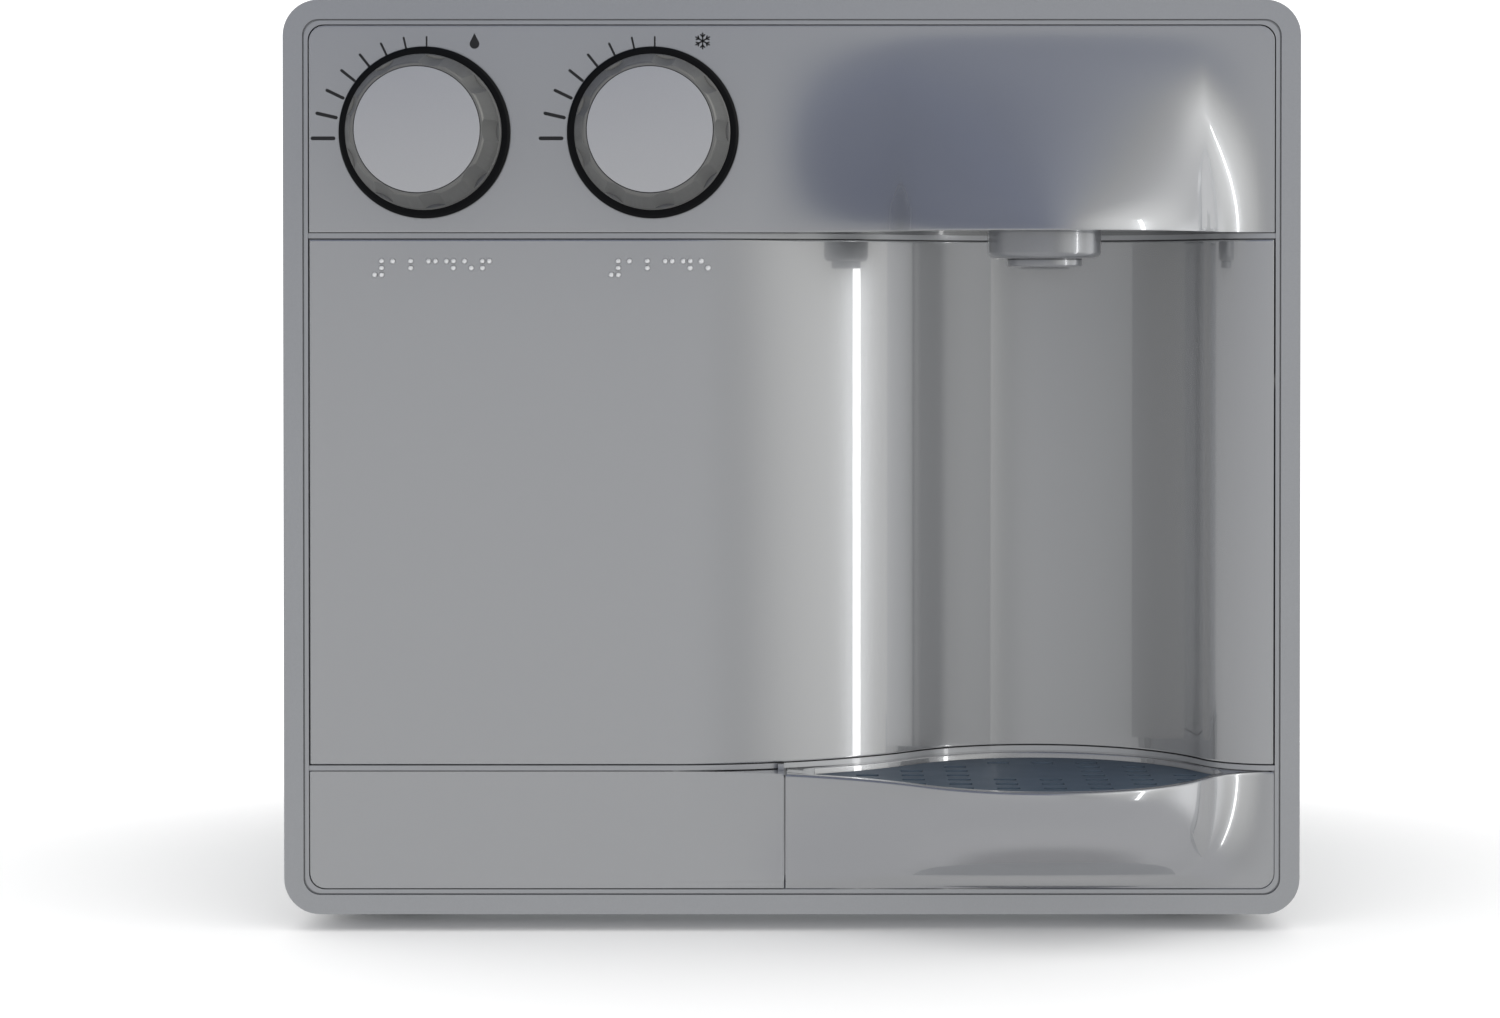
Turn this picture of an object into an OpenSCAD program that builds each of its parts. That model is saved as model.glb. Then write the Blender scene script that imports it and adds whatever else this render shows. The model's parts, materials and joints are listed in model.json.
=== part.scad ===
// Countertop water purifier and cooler: two flow knobs, a curved dispensing niche and a pull-out drip tray.
// Millimetres. X runs to the right, Y into the depth and Z up from the floor. The front faces -Y.

/* [Front frame] */
// Width of the front frame
frame_w = 340; // [330:1:360]
// Height of the front frame without the feet
frame_h = 306; // [300:1:330]
// Depth of the skirt that laps over the cabinet
frame_depth = 20; // [18:1:26]
// Radius of the frame's outer corners
frame_corner_r = 12; // [11:0.5:14]
// Width of the flat outer rim
rim_w = 6.5; // [6:0.1:8]
// Thickness of the rim, front to back
rim_t = 4; // [3.5:0.1:5]
// Wall of the skirt
skirt_t = 2.6; // [2:0.1:3]
// Width of the groove inside the rim
groove_w = 0.5; // [0.4:0.1:0.8]
// Depth of the groove
groove_d = 0.9; // [0.5:0.1:1.5]
// Width of the ledge between groove and panels
ledge_w = 1.3; // [1:0.1:2]
// Setback of the ledge behind the rim
ledge_set = 0.3; // [0.2:0.1:0.5]
// Radius of the panel opening's corners
open_corner_r = 5.4; // [4.5:0.1:6.5]
// Height of the lower row, cover and tray
lower_row_h = 39.8; // [36:0.1:46]
// Height of the fascia's row
fascia_row_h = 69.7; // [69:0.1:76]
// Height of each cross bar
bar_h = 1.7; // [1.5:0.1:2.5]
// Depth of each cross bar
bar_depth = 8; // [7.5:0.5:10]
// Wall of the backing lips and of the tray bay
backing_t = 2; // [1.6:0.1:2.6]
// Reach of the backing lips behind the panels
backing_w = 5; // [4:0.5:7]

/* [Panels] */
// Setback of the panel faces behind the rim
face_y = 0.6; // [0.4:0.1:0.8]
// Thickness of the front panel and the lower cover
panel_t = 2.2; // [1.8:0.1:2.6]
// Thickness of the fascia, front to back
fascia_t = 3; // [2.6:0.1:3.4]
// Gap around each panel
panel_gap = 0.3; // [0.2:0.05:0.4]
// Seam between cover and tray, left of the middle
seam_x = 2.4; // [0:0.1:6]

/* [Niche and hood] */
// Niche centre from the opening's right edge
niche_edge = 78; // [74:0.5:82]
// Depth of the niche behind the panels
niche_depth = 51.4; // [46:0.1:54]
// Radius of the niche wall
niche_r = 59; // [57:0.5:63]
// Niche centre to the start of the panel's left turn
niche_lead = 124.7; // [115:0.1:132]
// Swell of hood and tray in front of the panels
swell = 50; // [44:0.5:52]
// Where the hood is steepest: above 1 is nearer to its lip
hood_bias = 1.35; // [1:0.05:1.4]
// Where the tray's front is steepest: under 1 is nearer to its foot
tray_bias = 0.7; // [0.6:0.05:1]
// Niche centre to the start of the hood's swell
hood_lead = 97.7; // [90:0.1:100]
// Thickness of the plate over the niche
plate_t = 2.2; // [1.8:0.1:3]

/* [Drip tray] */
// Depth of the tray's ends behind the panels
tray_tip = 14; // [13:0.5:17]
// Front wall of the tray, front to back
tray_front_t = 4; // [3.5:0.1:4.5]
// Other walls and floor of the tray
tray_wall = 2; // [1.6:0.1:2.4]
// Width of the step that carries the grille
seat_w = 2; // [1.5:0.1:2.4]
// Niche centre to the left end of the grille's recess
recess_left = 76; // [70:0.5:80]
// Niche centre to the right end of the grille's recess
recess_right = 60; // [54:0.5:60]
// Ends of the basin inside the recess
basin_in = 24; // [20:0.5:28]
// Top of the grille below the tray's rim
grille_drop = 1.9; // [1.5:0.1:4]
// Thickness of the grille
grille_t = 2.6; // [2:0.1:3.5]
// Length of a grille slot
slot_l = 7.6; // [6:0.1:9]
// Width of a grille slot
slot_w = 3.8; // [3:0.1:4]
// Distance of slot columns
slot_pitch_x = 15.25; // [13:0.05:18]
// Distance of slot rows
slot_pitch_y = 10.2; // [8:0.1:12]

/* [Spout] */
// Radius of the spout's collar
spout_r = 18.7; // [17:0.1:20]
// Radius of the outlet
outlet_r = 12.4; // [11.5:0.1:13.5]
// Outlet below the plate
spout_drop = 12.3; // [11:0.1:16]
// Spout axis behind the hood's front edge
spout_set = 30.4; // [29:0.1:33]
// Radius of the spout's neck
neck_r = 9; // [8:0.1:10]

/* [Knobs and valves] */
// First knob from the fascia's left edge
knob_edge = 38.8; // [36:0.1:42]
// Distance between the knobs
knob_pitch = 76.2; // [74:0.1:80]
// Knob axis above the fascia's lower edge
knob_rise = 33.3; // [32:0.1:36]
// Radius of the dial ring
ring_r = 28.7; // [28:0.1:30]
// Height of the dial ring
ring_h = 2.5; // [2:0.1:3]
// Radius at the grip's foot
grip_r = 26.4; // [25.5:0.1:27.5]
// Radius at the grip's top
grip_top_r = 22.2; // [21.6:0.1:23]
// Height of the knob over the fascia
knob_h = 25; // [23:0.5:30]
// Radius of the cap
cap_r = 20.8; // [20:0.1:21]
// Thickness of the cap
cap_t = 2; // [1.5:0.1:2.5]
// Finger scallops around the grip
scallops = 9; // [6:1:12]
// Radius of the spindle
spindle_r = 4; // [3.5:0.1:4.5]
// Radius of the valve body
valve_r = 15; // [14:0.1:16]
// Length of the valve body
valve_l = 34; // [32:0.5:40]
// Bracket behind the fascia's face
bracket_set = 13.4; // [12.5:0.1:16]
// Thickness of the bracket
bracket_t = 2; // [1.5:0.1:2.5]

/* [Cabinet] */
// Depth of the cabinet behind the frame's face
cabinet_depth = 328; // [328:1:350]
// Sheet of the wrap
wrap_t = 0.8; // [0.6:0.1:1.2]
// Sheet of the base plate
base_t = 1.2; // [1:0.1:2]
// Sheet of the rear panel
rear_t = 1; // [0.8:0.1:1.5]
// Floor to the frame's lower edge
foot_gap = 6; // [4:0.5:10]
// Radius of a foot
foot_r = 13; // [10:0.5:16]
// Length of the rear spacers
spacer_l = 16; // [14:0.5:24]
// Radius of the screws' shanks
screw_r = 1.6; // [1.4:0.1:2]

/* [Cooling] */
// Length of the compressor shell
comp_l = 150; // [140:1:152]
// Width of the compressor shell
comp_w = 112; // [104:1:114]
// Height of the compressor shell
comp_h = 135; // [120:1:138]
// Wall of the compressor shell
comp_wall = 3; // [2.5:0.1:4]
// Radius of the refrigerant tubes
tube_r = 2.4; // [2:0.1:2.6]
// Rows of condenser tube
condenser_rows = 10; // [6:2:10]
// Radius of the cold tank
tank_r = 42; // [38:0.5:43]
// Height of the cold tank
tank_h = 120; // [116:1:126]
// Wall of the cold tank
tank_wall = 1; // [0.8:0.1:2]
// Turns of the evaporator coil
coil_turns = 6; // [4:1:7]
// Radius of the evaporator tube
coil_r = 3; // [2.5:0.1:3.2]

/* [Water path] */
// Radius of the filter cartridge
filter_r = 34; // [30:0.5:35]
// Height of the filter cartridge
filter_h = 166; // [150:1:168]
// Outer radius of the hoses
hose_r = 5; // [4.5:0.1:5.5]
// Radius of the hose barbs
barb_r = 3.5; // [3:0.1:3.8]
// Radius of the tube that pushes into the inlet
inlet_bore_r = 3.2; // [3:0.1:4]

/* [Hidden] */
$fn = 48;

// Clearances, the overshoot of cuts and the lap of shapes that are fused
slide_gap = 0.5;
run_gap = 0.05;
seat_gap = 0.1;
turn_gap = 0.4;
cut = 1;
sink = 1;

// Frame landmarks
frame_x = frame_w / 2;
frame_z0 = foot_gap;
frame_z1 = frame_z0 + frame_h;
open_inset = rim_w + groove_w + ledge_w;
open_x = frame_x - open_inset;
open_z0 = frame_z0 + open_inset;
open_z1 = frame_z1 - open_inset;
panel_x = open_x - panel_gap;
panel_corner_r = open_corner_r - panel_gap;
rim_corner_r = frame_corner_r - rim_w;
backing_y = face_y + fascia_t + panel_gap;
lower_bar_z = open_z0 + lower_row_h;
upper_bar_z = open_z1 - fascia_row_h;

// Rows of panels
lower_z0 = open_z0 + panel_gap;
lower_z1 = lower_bar_z - panel_gap;
middle_z0 = lower_bar_z + bar_h + panel_gap;
middle_z1 = upper_bar_z - bar_h - panel_gap;
fascia_z0 = upper_bar_z + panel_gap;
fascia_z1 = open_z1 - panel_gap;

// The niche's arcs, all tangent: left turn, niche wall, right turn
niche_x = open_x - niche_edge;
right_lead = niche_edge - 2 * panel_gap;
niche_offset = niche_r - niche_depth;
left_r = turn_radius(niche_depth, niche_lead);
right_r = turn_radius(niche_depth, right_lead);
left_turn = atan2(niche_lead, left_r + niche_offset);
right_turn = atan2(right_lead, right_r + niche_offset);

// Steps along curves
turn_steps = 10;
wall_steps = 20;
bay_steps = 40;
hood_steps = 30;
hood_rows = 12;
tray_steps = 34;
tray_rows = 9;
cover_steps = 10;
cover_rows = 8;
corner_step = 18;

// Depth range and the shift that centres the part over its footprint
front_y = face_y - swell;
back_y = cabinet_depth + spacer_l;
middle_y = (front_y + back_y) / 2;

// Hood, the plate under it and the spout
hood_x0 = niche_x - hood_lead;
shelf_set = fascia_t + 2 * seat_gap;
shelf_h = 1;
plate_z = upper_bar_z + shelf_h;
plate_in = 6;
spout_x = niche_x - 0.7;
spout_y = face_y - swell + spout_set;
spout_bore_r = neck_r - 3;
tip_h = 2.5;
tip_edge = 0.4;
tip_lip = 0.8;
mouth_r = outlet_r - 5;
spigot_h = 8;
spigot_t = 1;
collar_round = [3, 2.2];
collar_h = spout_drop - tip_h - collar_round[1];
manifold = [40, 22, 14];
manifold_roof = 4;
neck_top = plate_t + manifold[2] - 2 * manifold_roof;
port_pitch = 18;
port_l = 14;
port_z = plate_z + plate_t + manifold[2] / 2;
port_y = spout_y + manifold[1] / 2;

// Tray and grille
tray_x0 = -seam_x + panel_gap;
tray_x1 = panel_x;
bay_gap = 1.2;
bay_x0 = -seam_x - panel_gap - backing_t;
bay_x1 = open_x + backing_t;
recess_x0 = niche_x - recess_left;
recess_x1 = niche_x + recess_right;
grille_z1 = lower_z1 - grille_drop;
grille_z0 = grille_z1 - grille_t;
seat_z = grille_z0 - seat_gap;
slot_margin = 2.4;
slot_cols = 5;
slot_rows = 9;
slot_x = niche_x + 2.7;
slot_y = face_y + niche_depth - 6;
blank_x = 16;
blank_y0 = slot_y - 44;
blank_y1 = slot_y - 16;

// Knobs and valves, heights measured from the fascia's face towards the viewer
natural_x = -panel_x + knob_edge;
cold_x = natural_x + knob_pitch;
knob_z = fascia_z0 + knob_rise;
ring_inner_r = 24;
ring_edge = 0.8;
grip_base = ring_h + turn_gap;
grip_wall = 2.8;
skirt_h = 3.6;
skirt_in = 0.8;
top_edge = 0.6;
cap_seat = knob_h - cap_t;
hub_r = 8;
spindle_top = knob_h - 7;
fascia_hole_r = spindle_r + 1.5;
scallop_r = 8;
scallop_d = 1.3;
scallop_base = 9;
bracket_h = -bracket_set;
valve_front = bracket_h - bracket_t;
valve_back = valve_front - valve_l;
valve_neck_r = 8.5;
valve_neck_top = -fascia_t - 1.4;
chamber_r = 11;
disc_r = chamber_r - slide_gap;
disc_h = 4;
chamber_front = valve_front - 14;
nut_h = 5;
nut_r = 12.7;
seal_r = 1.2;
seal_mid_r = spindle_r + run_gap + seal_r;
seal_h = valve_front - 6;
bore_r = 2;
end_flange = 4;
barb_l = 14;
outlet_h = chamber_front - disc_h / 2 - turn_gap;
bracket_side = 34;
bracket_x0 = natural_x - bracket_side;
bracket_x1 = cold_x + bracket_side;
bracket_z1 = knob_z + 24;
bracket_screw_in = 12;
bracket_screw_y = face_y + bar_depth - screw_r - 2 * seat_gap;

// Cabinet
wrap_inset = skirt_t + turn_gap;
wrap_in = wrap_inset + wrap_t;
wrap_x = frame_x - wrap_in;
wrap_corner_r = frame_corner_r - wrap_inset;
wrap_return = 10;
wrap_floor = frame_z0 + wrap_inset;
base_z0 = wrap_floor + wrap_t;
base_z1 = base_z0 + base_t;
base_x = wrap_x - wrap_corner_r - slide_gap;
rear_y0 = cabinet_depth - rear_t;
rear_inset = wrap_in + 2 * seat_gap;
rear_corner_r = wrap_corner_r - wrap_t;
rear_flange = 12;
base_y0 = frame_depth + 2;
base_y1 = rear_y0 - rear_flange - slide_gap;
base_lip = 12;
foot_in = 22;
foot_x = base_x - wrap_return - foot_r - slide_gap;
foot_y0 = base_y0 + foot_in;
foot_y1 = base_y1 - foot_in;
foot_edge = 1;
stem_r = 4;
spacer_r = 10;
spacer_edge = 1;
spacer_x = wrap_x - 26.2;
spacer_low = frame_z0 + 34;
spacer_high = frame_z1 - 27;
screw_head_r = 3.4;
screw_head_h = 2;
screw_edge = 0.8;
screw_l = wrap_t + base_t;
rear_screw_y = rear_y0 - rear_flange / 2;
rear_screw_z = [for (share = [0.18, 0.5, 0.82]) frame_z0 + frame_h * share];
base_screw_x = base_x - 5;
base_screw_y = [for (share = [0.12, 0.5, 0.88]) base_y0 + (base_y1 - base_y0) * share];
louvre_l = 46;
louvre_half = 2.1;
louvre_pitch = 13.5;
louvre_in = 12;
louvre_side = 40;

// Compressor
comp_x = wrap_x - comp_l / 2 - 19.2;
comp_y = cabinet_depth - 96;
comp_z = base_z1 + 14;
comp_seam = comp_z + comp_h * 0.46;
comp_top = comp_z + comp_h;
comp_rim = 5;
comp_rim_out = 3;
dome_h = 8;
dome_in = 7;
comp_foot_t = 3;
comp_foot_x = comp_l / 2 + 7;
comp_foot_y = comp_w / 2 - 4;
comp_bolt_x = comp_l / 2 - 3;
comp_bolt_y = comp_w / 2 - 14;
grommet_r = 10;
bolt_r = 3;
bolt_head_r = 6;
bolt_head_h = 4;
pump_r = comp_w / 2 - comp_wall - 11;
pump_z0 = comp_z + 18;
pump_z1 = comp_top - 24;
pump_foot_r = pump_r * 0.4;
relay = [36, 22, 44];
relay_z = comp_z + 8;

// Condenser, drier and lines
fitting_x = wrap_x - 46.2;
condenser_y = rear_y0 - 21;
condenser_x0 = -wrap_x + 16.2;
condenser_x1 = fitting_x - 40;
condenser_top = frame_z1 - 27;
condenser_bottom = base_z1 + 31;
condenser_pitch = (condenser_top - condenser_bottom) / (condenser_rows - 1);
condenser_end = condenser_x1 + 8;
condenser_sink = 0.5;
condenser_sheet = 1;
condenser_edge = 6;
condenser_tab = 8;
tube_in = 4;
tube_wall = 0.7;
drier_r = 9;
drier_l = 60;
drier_neck = 5;
drier_cone = 8;
drier_x1 = condenser_end + drier_l;
suction_r = 3.5;
capillary_r = 1;
capillary_bend = 5;
line_bend = 8;
line_set = 10;
riser_x = wrap_x - line_set;
discharge_z = comp_seam + 25;
suction_z = comp_seam + 17;

// Cold tank in its insulation
coil_mid_r = tank_r + coil_r + slide_gap;
foam_bore = coil_mid_r + coil_r + 1;
foam = foam_bore + 15.5;
tank_x = -wrap_x + foam + 6.2;
tank_y = cabinet_depth - foam - 30;
foam_x0 = tank_x - foam;
foam_x1 = tank_x + foam;
foam_y0 = tank_y - foam;
tank_z = base_z1 + 19;
tank_top = tank_z + tank_h;
lid_t = 4;
foam_split = tank_top + lid_t + 11;
foam_top = foam_split + 25;
coil_z0 = tank_z + 30;
coil_z1 = tank_top - 20;
coil_steps = 24;
coil_sides = 6;
coil_bore = coil_r + 0.6;
coil_lead_y = foam_y0 - 8;
line_y = coil_lead_y - line_set;
feed_port = [tank_x - 3, tank_y - 28];
cold_port = [tank_x + 33, tank_y];
tank_port_top = foam_top + 12;

// Filter, its head level with the top of the insulation
filter_x = feed_port[0] - 14;
filter_gap = 24;
filter_y = foam_y0 - filter_r - filter_gap;
filter_top = foam_top;
filter_z = filter_top - filter_h;
filter_edge = 8;
filter_neck_r = 16;
filter_neck_h = 14;
head_wall = 2;
head_h = 36;
head_z = filter_top + turn_gap;
head_top = head_z + head_h;
head_port_z = head_z + head_h * 0.6;
head_in_x = filter_x - 14;
head_back = filter_y + filter_r + head_wall;
head_end = head_back + barb_l;
arm = [12, 8, 6];
arm_plate = [24, 3, 10];

// Fittings in the rear panel, thermostat and hoses
fitting_r = 8;
fitting_nut_r = 12.5;
fitting_nut_h = 6;
fitting_collar_r = 11;
fitting_collar_l = 11;
inlet_z = head_port_z;
gland_z = inlet_z - 36;
gland_r = 12;
gland_l = [3, 9];
gland_bore_r = 3.6;
thermostat_rise = 50;
thermostat_z = inlet_z + thermostat_rise;
thermostat = [40, 30, 28];
dial_r = 14;
dial_gap = 1.2;
dial_l = 12;
dial_foot = 3;
dial_step = 1;
dial_edge = [3, 1];
dial_grooves = 12;
dial_groove_r = 2;
stub_r = 3;
stub_l = 13;
hose_bend = 11;
jog_bend = 7.5;
hose_lap = 10;
feed_start = face_y - valve_back + end_flange + barb_l - hose_lap;
outlet_y = face_y - outlet_h;
outlet_end = valve_r + barb_l - hose_lap;

// Radius of the arc that joins the flat face to an arc of niche_r, over a lead, for a given depth
function turn_radius(depth, lead) =
    (pow(lead, 2) + pow(niche_r - depth, 2) - pow(niche_r, 2)) / (2 * depth);

// Depth at x of a flat face that turns through two tangent arcs into one of niche_r
function dip(x, depth, lead) =
    let(
        u = x - niche_x,
        rl = turn_radius(depth, lead),
        rr = turn_radius(depth, right_lead),
        left = -niche_r * lead / (niche_r + rl),
        right = niche_r * right_lead / (niche_r + rr)
    )
    u <= -lead || u >= right_lead ? 0
        : u < left ? rl - sqrt(pow(rl, 2) - pow(u + lead, 2))
        : u > right ? rr - sqrt(pow(rr, 2) - pow(right_lead - u, 2))
        : depth - niche_r + sqrt(pow(niche_r, 2) - pow(u, 2));

// Smooth rise from 0 to 1, level at both ends
function ease(v) = v * v * (3 - 2 * v);

// Drop of a rounded corner at a distance past its start
function corner_drop(past) =
    past <= 0 ? 0 : panel_corner_r - sqrt(max(0, pow(panel_corner_r, 2) - pow(past, 2)));

function evenly(a, b, n) = [for (i = [0:n]) a + (b - a) * i / n];
function reversed(list) = [for (i = [len(list) - 1:-1:0]) list[i]];
function unit(v) = v / norm(v);

// Points of an arc whose angle is measured from -Y towards +X
function arc(centre, r, from, to, steps) =
    [for (a = evenly(from, to, steps)) centre + r * [sin(a), -cos(a)]];

// Plan of the front panel's face, moved back by a wall, from x0 to x1
function niche_face(wall, x0, x1) = concat(
    [[x0, face_y + wall]],
    arc([niche_x - niche_lead, face_y + left_r], left_r - wall, 0, left_turn, turn_steps),
    [for (i = [1:wall_steps - 1])
        let(a = -left_turn + (left_turn + right_turn) * i / wall_steps)
        [niche_x + (niche_r + wall) * sin(a), face_y - niche_offset + (niche_r + wall) * cos(a)]],
    arc([niche_x + right_lead, face_y + right_r], right_r - wall, -right_turn, 0, turn_steps),
    [[x1, face_y + wall]]
);

// Plan between two walls behind the panel's face
module niche_strip(wall0, wall1, x)
    polygon(concat(niche_face(wall0, -x, x), reversed(niche_face(wall1, -x, x))));

// Back of the tray at x, along the niche and straight at its ends
function niche_back(x) = face_y + dip(x, niche_depth, niche_lead) - slide_gap;
function tray_back(x) = max(niche_back(x), face_y + tray_tip);

// Front of the tray and the lower cover at x and height z
function lower_front(x, z) =
    face_y - dip(x, swell, niche_lead) * ease(pow((z - lower_z0) / (lower_z1 - lower_z0), tray_bias));

// Front of the fascia at x and height z
function fascia_front(x, z) =
    face_y - dip(x, swell, hood_lead) * ease(pow((fascia_z1 - z) / (fascia_z1 - fascia_z0), hood_bias));

// Moves everything from the frame's face to the middle of the footprint
module place() translate([0, -middle_y, 0]) children();

// Extrudes an X-Z outline from y0 to y1
module slab(y0, y1) translate([0, y1, 0]) rotate([90, 0, 0]) linear_extrude(y1 - y0) children();

// Extrudes an X-Y plan from z0 to z1
module plan(z0, z1) translate([0, 0, z0]) linear_extrude(z1 - z0) children();

module block(low, high) translate(low) cube(high - low);

// Puts a part built along +Z on the fascia's face, its +Z towards the viewer
module facing(x) place() translate([x, face_y, knob_z]) rotate([90, 0, 0]) children();

// Puts a part built along +Z at the rear, its +Z pointing back
module backing(x, y, z) place() translate([x, y, z]) rotate([-90, 0, 0]) children();

module rounded(x0, z0, x1, z1, r) {
    translate([x0 + r, z0]) square([x1 - x0 - 2 * r, z1 - z0]);
    translate([x0, z0 + r]) square([x1 - x0, z1 - z0 - 2 * r]);
    for (x = [x0 + r, x1 - r], z = [z0 + r, z1 - r]) translate([x, z]) circle(r);
}

module outline(inset, r)
    rounded(-frame_x + inset, frame_z0 + inset, frame_x - inset, frame_z1 - inset, r);

module outline_ring(inset0, r0, inset1, r1)
    difference() {
        outline(inset0, r0);
        outline(inset1, r1);
    }

module drum(r, z0, z1) translate([0, 0, z0]) cylinder(r = r, h = z1 - z0);

// Closed shell between two grids of points; columns run along X, rows along Z
module grid_shell(front, back) {
    cols = len(front);
    rows = len(front[0]);
    total = cols * rows;
    top = rows - 1;
    right = cols - 1;
    faces = concat(
        [for (i = [0:right - 1], j = [0:top - 1])
            let(a = i * rows + j, b = a + 1, c = a + rows + 1, d = a + rows, k = total)
            each [[a, b, c], [a, c, d], [k + a, k + c, k + b], [k + a, k + d, k + c]]],
        [for (i = [0:right - 1])
            let(a = i * rows, d = a + rows, b = a + top, c = d + top, k = total)
            each [[a, d, k + d], [a, k + d, k + a], [c, b, k + b], [c, k + b, k + c]]],
        [for (j = [0:top - 1])
            let(a = j, b = j + 1, d = right * rows + j, c = d + 1, k = total)
            each [[b, a, k + a], [b, k + a, k + b], [d, c, k + c], [d, k + c, k + d]]]
    );
    polyhedron([for (grid = [front, back], col = grid, p = col) p], faces, convexity = 8);
}

// Closed solid through loops of equal length; each loop is a front run left to right and the same run back
module loft(loops) {
    size = len(loops[0]);
    half = size / 2;
    last = (len(loops) - 1) * size;
    sides = [for (k = [0:len(loops) - 2], p = [0:size - 1])
        let(a = k * size + p, d = k * size + (p + 1) % size, b = a + size, c = d + size)
        each [[a, b, c], [a, c, d]]];
    caps = [for (i = [0:half - 2])
        let(j = size - 1 - i, k = last + i, m = last + j)
        each [[i, i + 1, j - 1], [i, j - 1, j], [k, m - 1, k + 1], [k, m, m - 1]]];
    polyhedron([for (loop = loops, p = loop) p], concat(sides, caps), convexity = 10);
}

// Round tube along points, each run along an axis, with bends of one radius at the corners
module pipe(points, r, bore, bend) {
    n = len(points);
    dirs = [for (i = [0:n - 2]) unit(points[i + 1] - points[i])];
    trims = [for (i = [0:n - 1]) i == 0 || i == n - 1 ? 0 : bend];
    for (i = [0:n - 2]) {
        along = dirs[i];
        run = norm(points[i + 1] - points[i]) - trims[i] - trims[i + 1];
        side = cross(along, along[2] == 0 ? [0, 0, 1] : [1, 0, 0]);
        if (run > run_gap)
            frame_at(points[i] + trims[i] * along, side, cross(along, side), along)
                linear_extrude(run) tube_section(r, bore);
    }
    for (i = [1:1:n - 2]) {
        start = points[i] - bend * dirs[i - 1];
        frame_at(start + bend * dirs[i], -dirs[i], dirs[i - 1], cross(-dirs[i], dirs[i - 1]))
            rotate_extrude(angle = 90) translate([bend, 0]) tube_section(r, bore);
    }
}

module tube_section(r, bore)
    difference() {
        circle(r);
        if (bore > 0) circle(bore);
    }

// Carries children from the axes x, y, z to the directions given, at an origin
module frame_at(origin, x, y, z)
    multmatrix([
        [x[0], y[0], z[0], origin[0]],
        [x[1], y[1], z[1], origin[1]],
        [x[2], y[2], z[2], origin[2]],
        [0, 0, 0, 1]
    ])
        children();

// Front frame
module front_frame()
    color("#8f9294") place() {
        frame_ring();
        difference() {
            union() {
                niche_bar(upper_bar_z - bar_h, upper_bar_z, 0, bar_depth);
                niche_bar(upper_bar_z, plate_z, shelf_set, bar_depth);
                niche_bar(middle_z1 - backing_w, upper_bar_z, panel_t + seat_gap, panel_t + backing_t);
            }
            for (x = bracket_screw_xs())
                translate([x, bracket_screw_y, 0]) drum(screw_r, upper_bar_z - bar_h - cut, plate_z + cut);
        }
        niche_bar(lower_bar_z, lower_bar_z + bar_h, 0, bar_depth);
        niche_bar(lower_bar_z, middle_z0 + backing_w, panel_t + seat_gap, panel_t + backing_t);
        tray_bay();
    }

// A bar that follows the niche between two walls behind its face, its ends sunk into the ring
module niche_bar(z0, z1, wall0, wall1) plan(z0, z1) niche_strip(wall0, wall1, open_x + sink);

// Rim, groove, ledge, skirt and the backing lip around the fascia, the panel's left edge and the cover
module frame_ring() {
    difference() {
        slab(0, rim_t) outline_ring(0, frame_corner_r, open_inset, open_corner_r);
        slab(-cut, groove_d) outline_ring(rim_w, rim_corner_r, rim_w + groove_w, rim_corner_r);
        slab(-cut, ledge_set) outline_ring(rim_w, rim_corner_r, open_inset + cut, open_corner_r);
    }
    slab(0, frame_depth) outline_ring(0, frame_corner_r, skirt_t, frame_corner_r - skirt_t);
    slab(backing_y, backing_y + backing_t)
        difference() {
            outline_ring(rim_w, rim_corner_r, open_inset + backing_w, open_corner_r);
            translate([-seam_x - backing_t, frame_z0]) square([frame_w, upper_bar_z - frame_z0]);
        }
    slab(rim_t / 2, backing_y + backing_t)
        outline_ring(rim_w - sink, rim_corner_r, open_inset, open_corner_r);
}

function bracket_screw_xs() = [bracket_x0 + bracket_screw_in, bracket_x1 - bracket_screw_in];

// Floor, back and end walls of the tray's bay
module tray_bay() {
    z0 = open_z0 - backing_t;
    z1 = lower_bar_z + bar_h;
    xs = concat([bay_x0], evenly(tray_x0, tray_x1, tray_steps), [bay_x1]);
    back = [for (x = xs) [x, tray_back(x) + bay_gap]];
    rear = [for (p = back) p + [0, backing_t]];
    plan(z0, open_z0) polygon(concat([[bay_x1, rim_t / 2], [bay_x0, rim_t / 2]], rear));
    plan(z0, z1) polygon(concat(back, reversed(rear)));
    block([bay_x0, backing_y, z0], [bay_x0 + backing_t, rear[0][1], z1]);
    block([open_x + panel_gap, rim_t / 2, z0], [bay_x1, rear[len(rear) - 1][1], z1]);
}

// Fascia: a flat plate with the spindle holes and the swelling hood
module control_fascia()
    color("#8b8f93") place() {
        slab(face_y, face_y + fascia_t)
            difference() {
                fascia_flat();
                for (x = [natural_x, cold_x]) translate([x, knob_z]) circle(fascia_hole_r);
            }
        hood();
    }

// Flat left part of the fascia, its upper outer corner rounded
module fascia_flat() {
    r = panel_corner_r;
    translate([-panel_x, fascia_z0]) square([panel_x + hood_x0, fascia_z1 - fascia_z0 - r]);
    translate([-panel_x + r, fascia_z0]) square([panel_x + hood_x0 - r, fascia_z1 - fascia_z0]);
    translate([-panel_x + r, fascia_z1 - r]) circle(r);
}

module hood() {
    corner_x = panel_x - panel_corner_r;
    xs = concat(
        [hood_x0 - sink],
        evenly(hood_x0, corner_x, hood_steps),
        [for (a = [corner_step:corner_step:90]) corner_x + panel_corner_r * sin(a)]
    );
    heights = [for (x = xs) fascia_z1 - corner_drop(x - corner_x)];
    front = [for (i = [0:len(xs) - 1])
        [for (z = evenly(fascia_z0, heights[i], hood_rows)) [xs[i], fascia_front(xs[i], z), z]]];
    grid_shell(front, [for (col = front) [for (p = col) p + [0, fascia_t, 0]]]);
}

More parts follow.
